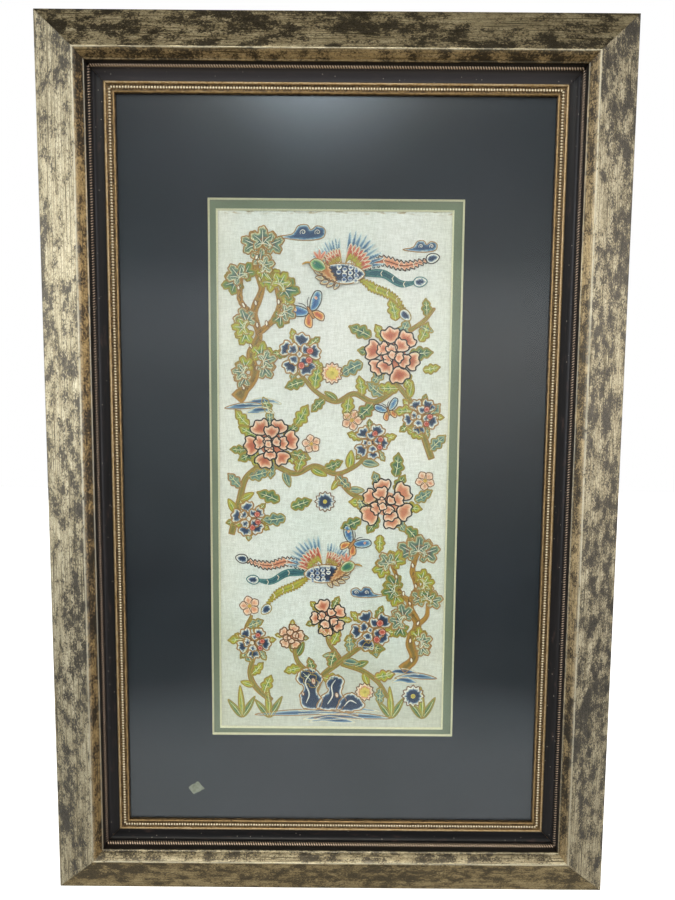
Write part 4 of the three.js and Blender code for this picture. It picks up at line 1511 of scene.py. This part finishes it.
# %% Lower spray
lower_spray = Work("stitched_spray_lower")
spray(lower_spray, [(-18, -226), (-10, -206), (6, -192), (24, -178), (40, -166)], [6, 5.5, 5, 4.5, 4],
      23, 13)
spray(lower_spray, [(10, -192), (32, -200), (48, -212), (58, -228)], [5, 4.6, 4, 3], 20, 12, 0.2)
spray(lower_spray, [(-62, -232), (-78, -218), (-84, -202), (-80, -180), (-88, -158), (-82, -142)],
      [5.5, 5, 4.5, 4, 3.4, 2.4], 20, 13)
spray(lower_spray, [(-16, -206), (-34, -192), (-40, -172)], [4.5, 4, 2.6], 20, 13)
spray(lower_spray, [(8, -186), (-4, -168), (-2, -150)], [4, 3.6, 3], 18, 12)
cluster(lower_spray, (40, -156), 22, 20)
cluster(lower_spray, (-80, -170), 17, 40)
peony(lower_spray, (-4, -144), 19, 20, CORAL, INK, 5, HALF)
peony(lower_spray, (-42, -164), 13, 60, PEACH, BROWN, 4, HALF)
star_flower(lower_spray, (84, -226), 12, shades=NAVY)
star_flower(lower_spray, (34, -222), 10)
blossom(lower_spray, (-84, -132), 10, 15)
for x, z in ((-92, -250), (94, -250), (62, -250), (-64, -250)):
    for lean, tall, greens in ((38, 24, FERN), (4, 34, LIME), (-30, 26, FERN)):
        leaf(lower_spray, (x, z), lean, tall, 7, greens)
print("lower spray stitched, with", len(lower_spray.faces), "faces")

# %% Creatures, clouds and rock
creatures = Work("stitched_birds")
bird(creatures, (12, 200), 1.02, -4, True)
bird(creatures, (-12, -98), 0.98, 4)
wings = Work("stitched_butterflies_clouds")
butterfly(wings, (-24, 164), 0.75, 30)
butterfly(wings, (20, -66), 0.65, -35)
butterfly(wings, (54, 68), 0.5, 20)
cloud(wings, (-30, 238), 0.95)
cloud(wings, (34, -118), 0.7, True)
cloud(wings, (84, 226), 0.7)
ground_rock = Work("stitched_rock")
rock(ground_rock, (-14, -236))
print("birds stitched, with", len(creatures.faces), "faces")

# %% Sew the groups to the silk
for work in (tree_left, tree_right, upper_spray, middle_spray, lower_spray, creatures, wings, ground_rock):
    piece = new_piece(work.name, np.vstack(work.points) * MM, work.faces, [silk_floss, couched_cord],
                      work.kinds, vectors={"lay": np.vstack(work.threads)}, colours=np.vstack(work.colours))
    print(work.name, len(work.faces), "faces")

# %% [markdown]
# ## Floor and light
# The floor is plain and pale, half a metre below the frame as under a picture on a wall. The light is a
# soft studio surround, painted by direction: a bright screen at each side at eye level, a high soft light
# in front, a darker room behind the camera with a pale patch and a faint doorway that the glass mirrors,
# and a dim ceiling. The camera itself sees plain white. Leaf and glass show what is around them, so this
# surround gives each rail much of its own brightness, beside the painted highlight, painted shade and
# painted sheen in the rails' colours.

# %% Floor
FLOOR_DROP = 0.5            # metres below the frame
FLOOR_CELL = 1.5            # metres, the side of one of its 8 by 8 squares
floor_paint, tree, shader = new_finish("pale_floor_paint", Base_Color="#F4F3F0", Roughness=0.9)
shader.inputs["Emission Color"].default_value = (1, 1, 1, 1)
shader.inputs["Emission Strength"].default_value = 1.0
floor_mesh = bpy.data.meshes.new("floor")
low = cad_low.z - FLOOR_DROP
cells = [(x * FLOOR_CELL, y * FLOOR_CELL, low) for x in range(-4, 5) for y in range(-4, 5)]
quads = [(9 * i + j, 9 * i + j + 9, 9 * i + j + 10, 9 * i + j + 1) for i in range(8) for j in range(8)]
floor_mesh.from_pydata(cells, [], quads)
floor_mesh.materials.append(floor_paint)
floor = bpy.data.objects.new("floor", floor_mesh)
bpy.context.scene.collection.objects.link(floor)
floor.visible_glossy = False
floor.visible_diffuse = False
floor.visible_transmission = False
print("floor", round(low, 3), "m high and", 8 * FLOOR_CELL, "m wide")


# %% Where the light comes from
def toward(azimuth, elevation):
    """The direction to a light, with azimuth 0 behind the camera and positive to the right, in degrees."""
    a, e = math.radians(azimuth), math.radians(elevation)
    return (math.sin(a) * math.cos(e), -math.cos(a) * math.cos(e), math.sin(e))


GLOWS = [
    # name, direction, how tight, strength, colour
    ("left screen", toward(-88, 8), 18, 1.06, "#FAFBFA"),
    ("left fill", toward(-56, 6), 36, 7.8, "#F4F8FF"),
    ("right screen", toward(88, 5), 16, 0.66, "#FFF8EE"),
    ("right fill", toward(57, 3), 28, 5.1, "#F8F8FF"),
    ("high front", toward(-2, 39), 60, 12.0, "#FFFAEE"),
    ("pale patch", toward(-2, 27), 200, 4.5, "#D6ECFF"),
    ("far doorway", toward(13, 3), 70, 0.38, "#FFF2E2"),
]
ROOM_RAMP = (
    # height from straight down, 0, to straight up, 1
    (0.0, "#B5A88C"), (0.13, "#CFC2A8"), (0.215, "#E6E9EB"), (0.262, "#E6EBEE"), (0.284, "#C0C8CD"),
    (0.302, "#6A7176"), (0.335, "#485056"), (0.365, "#4A525A"), (0.389, "#697177"), (0.425, "#82898E"),
    (0.476, "#9EA4A9"), (0.505, "#B4BABF"), (0.534, "#CED4DA"), (0.563, "#C8CFD6"), (0.590, "#949CA3"),
    (0.62, "#8B9299"), (0.70, "#788088"), (0.80, "#47412F"), (0.93, "#3B3522"), (1.0, "#6E6649"))
print("lights:", ", ".join(name for name, *_ in GLOWS))

# %% Surround
world = bpy.data.worlds.new("studio_surround")
world.use_nodes = True
bpy.context.scene.world = world
tree = world.node_tree
tree.nodes.clear()
heading = add(tree, "TexCoord", out=0)
height = add(tree, "SeparateXYZ", heading, out=2)
glow = add(tree, "ValToRGB", add(tree, "MapRange", height, -1.0, 1.0), stops=ROOM_RAMP)
for _, direction, tight, strength, tint in GLOWS:
    near = add(tree, "VectorMath", heading, direction, operation="DOT_PRODUCT")
    near = add(tree, "Math", near, tight, -tight, operation="MULTIPLY_ADD")
    near = add(tree, "Math", near, operation="EXPONENT")
    tinted = add(tree, "VectorMath", linear(tint)[:3], {"Scale": near}, operation="SCALE")
    tinted = add(tree, "VectorMath", tinted, {"Scale": strength}, operation="SCALE")
    glow = add(tree, "VectorMath", glow, tinted, operation="ADD")
lit = add(tree, "Background", glow, 1.0)
plain = add(tree, "Background", (1, 1, 1, 1), 1.0)
seen = add(tree, "MixShader", add(tree, "LightPath", out=0), lit, plain)
tree.links.new(seen, tree.nodes.new("ShaderNodeOutputWorld").inputs[0])
print("surround with", len(GLOWS), "lights and", len(ROOM_RAMP), "steps of height")
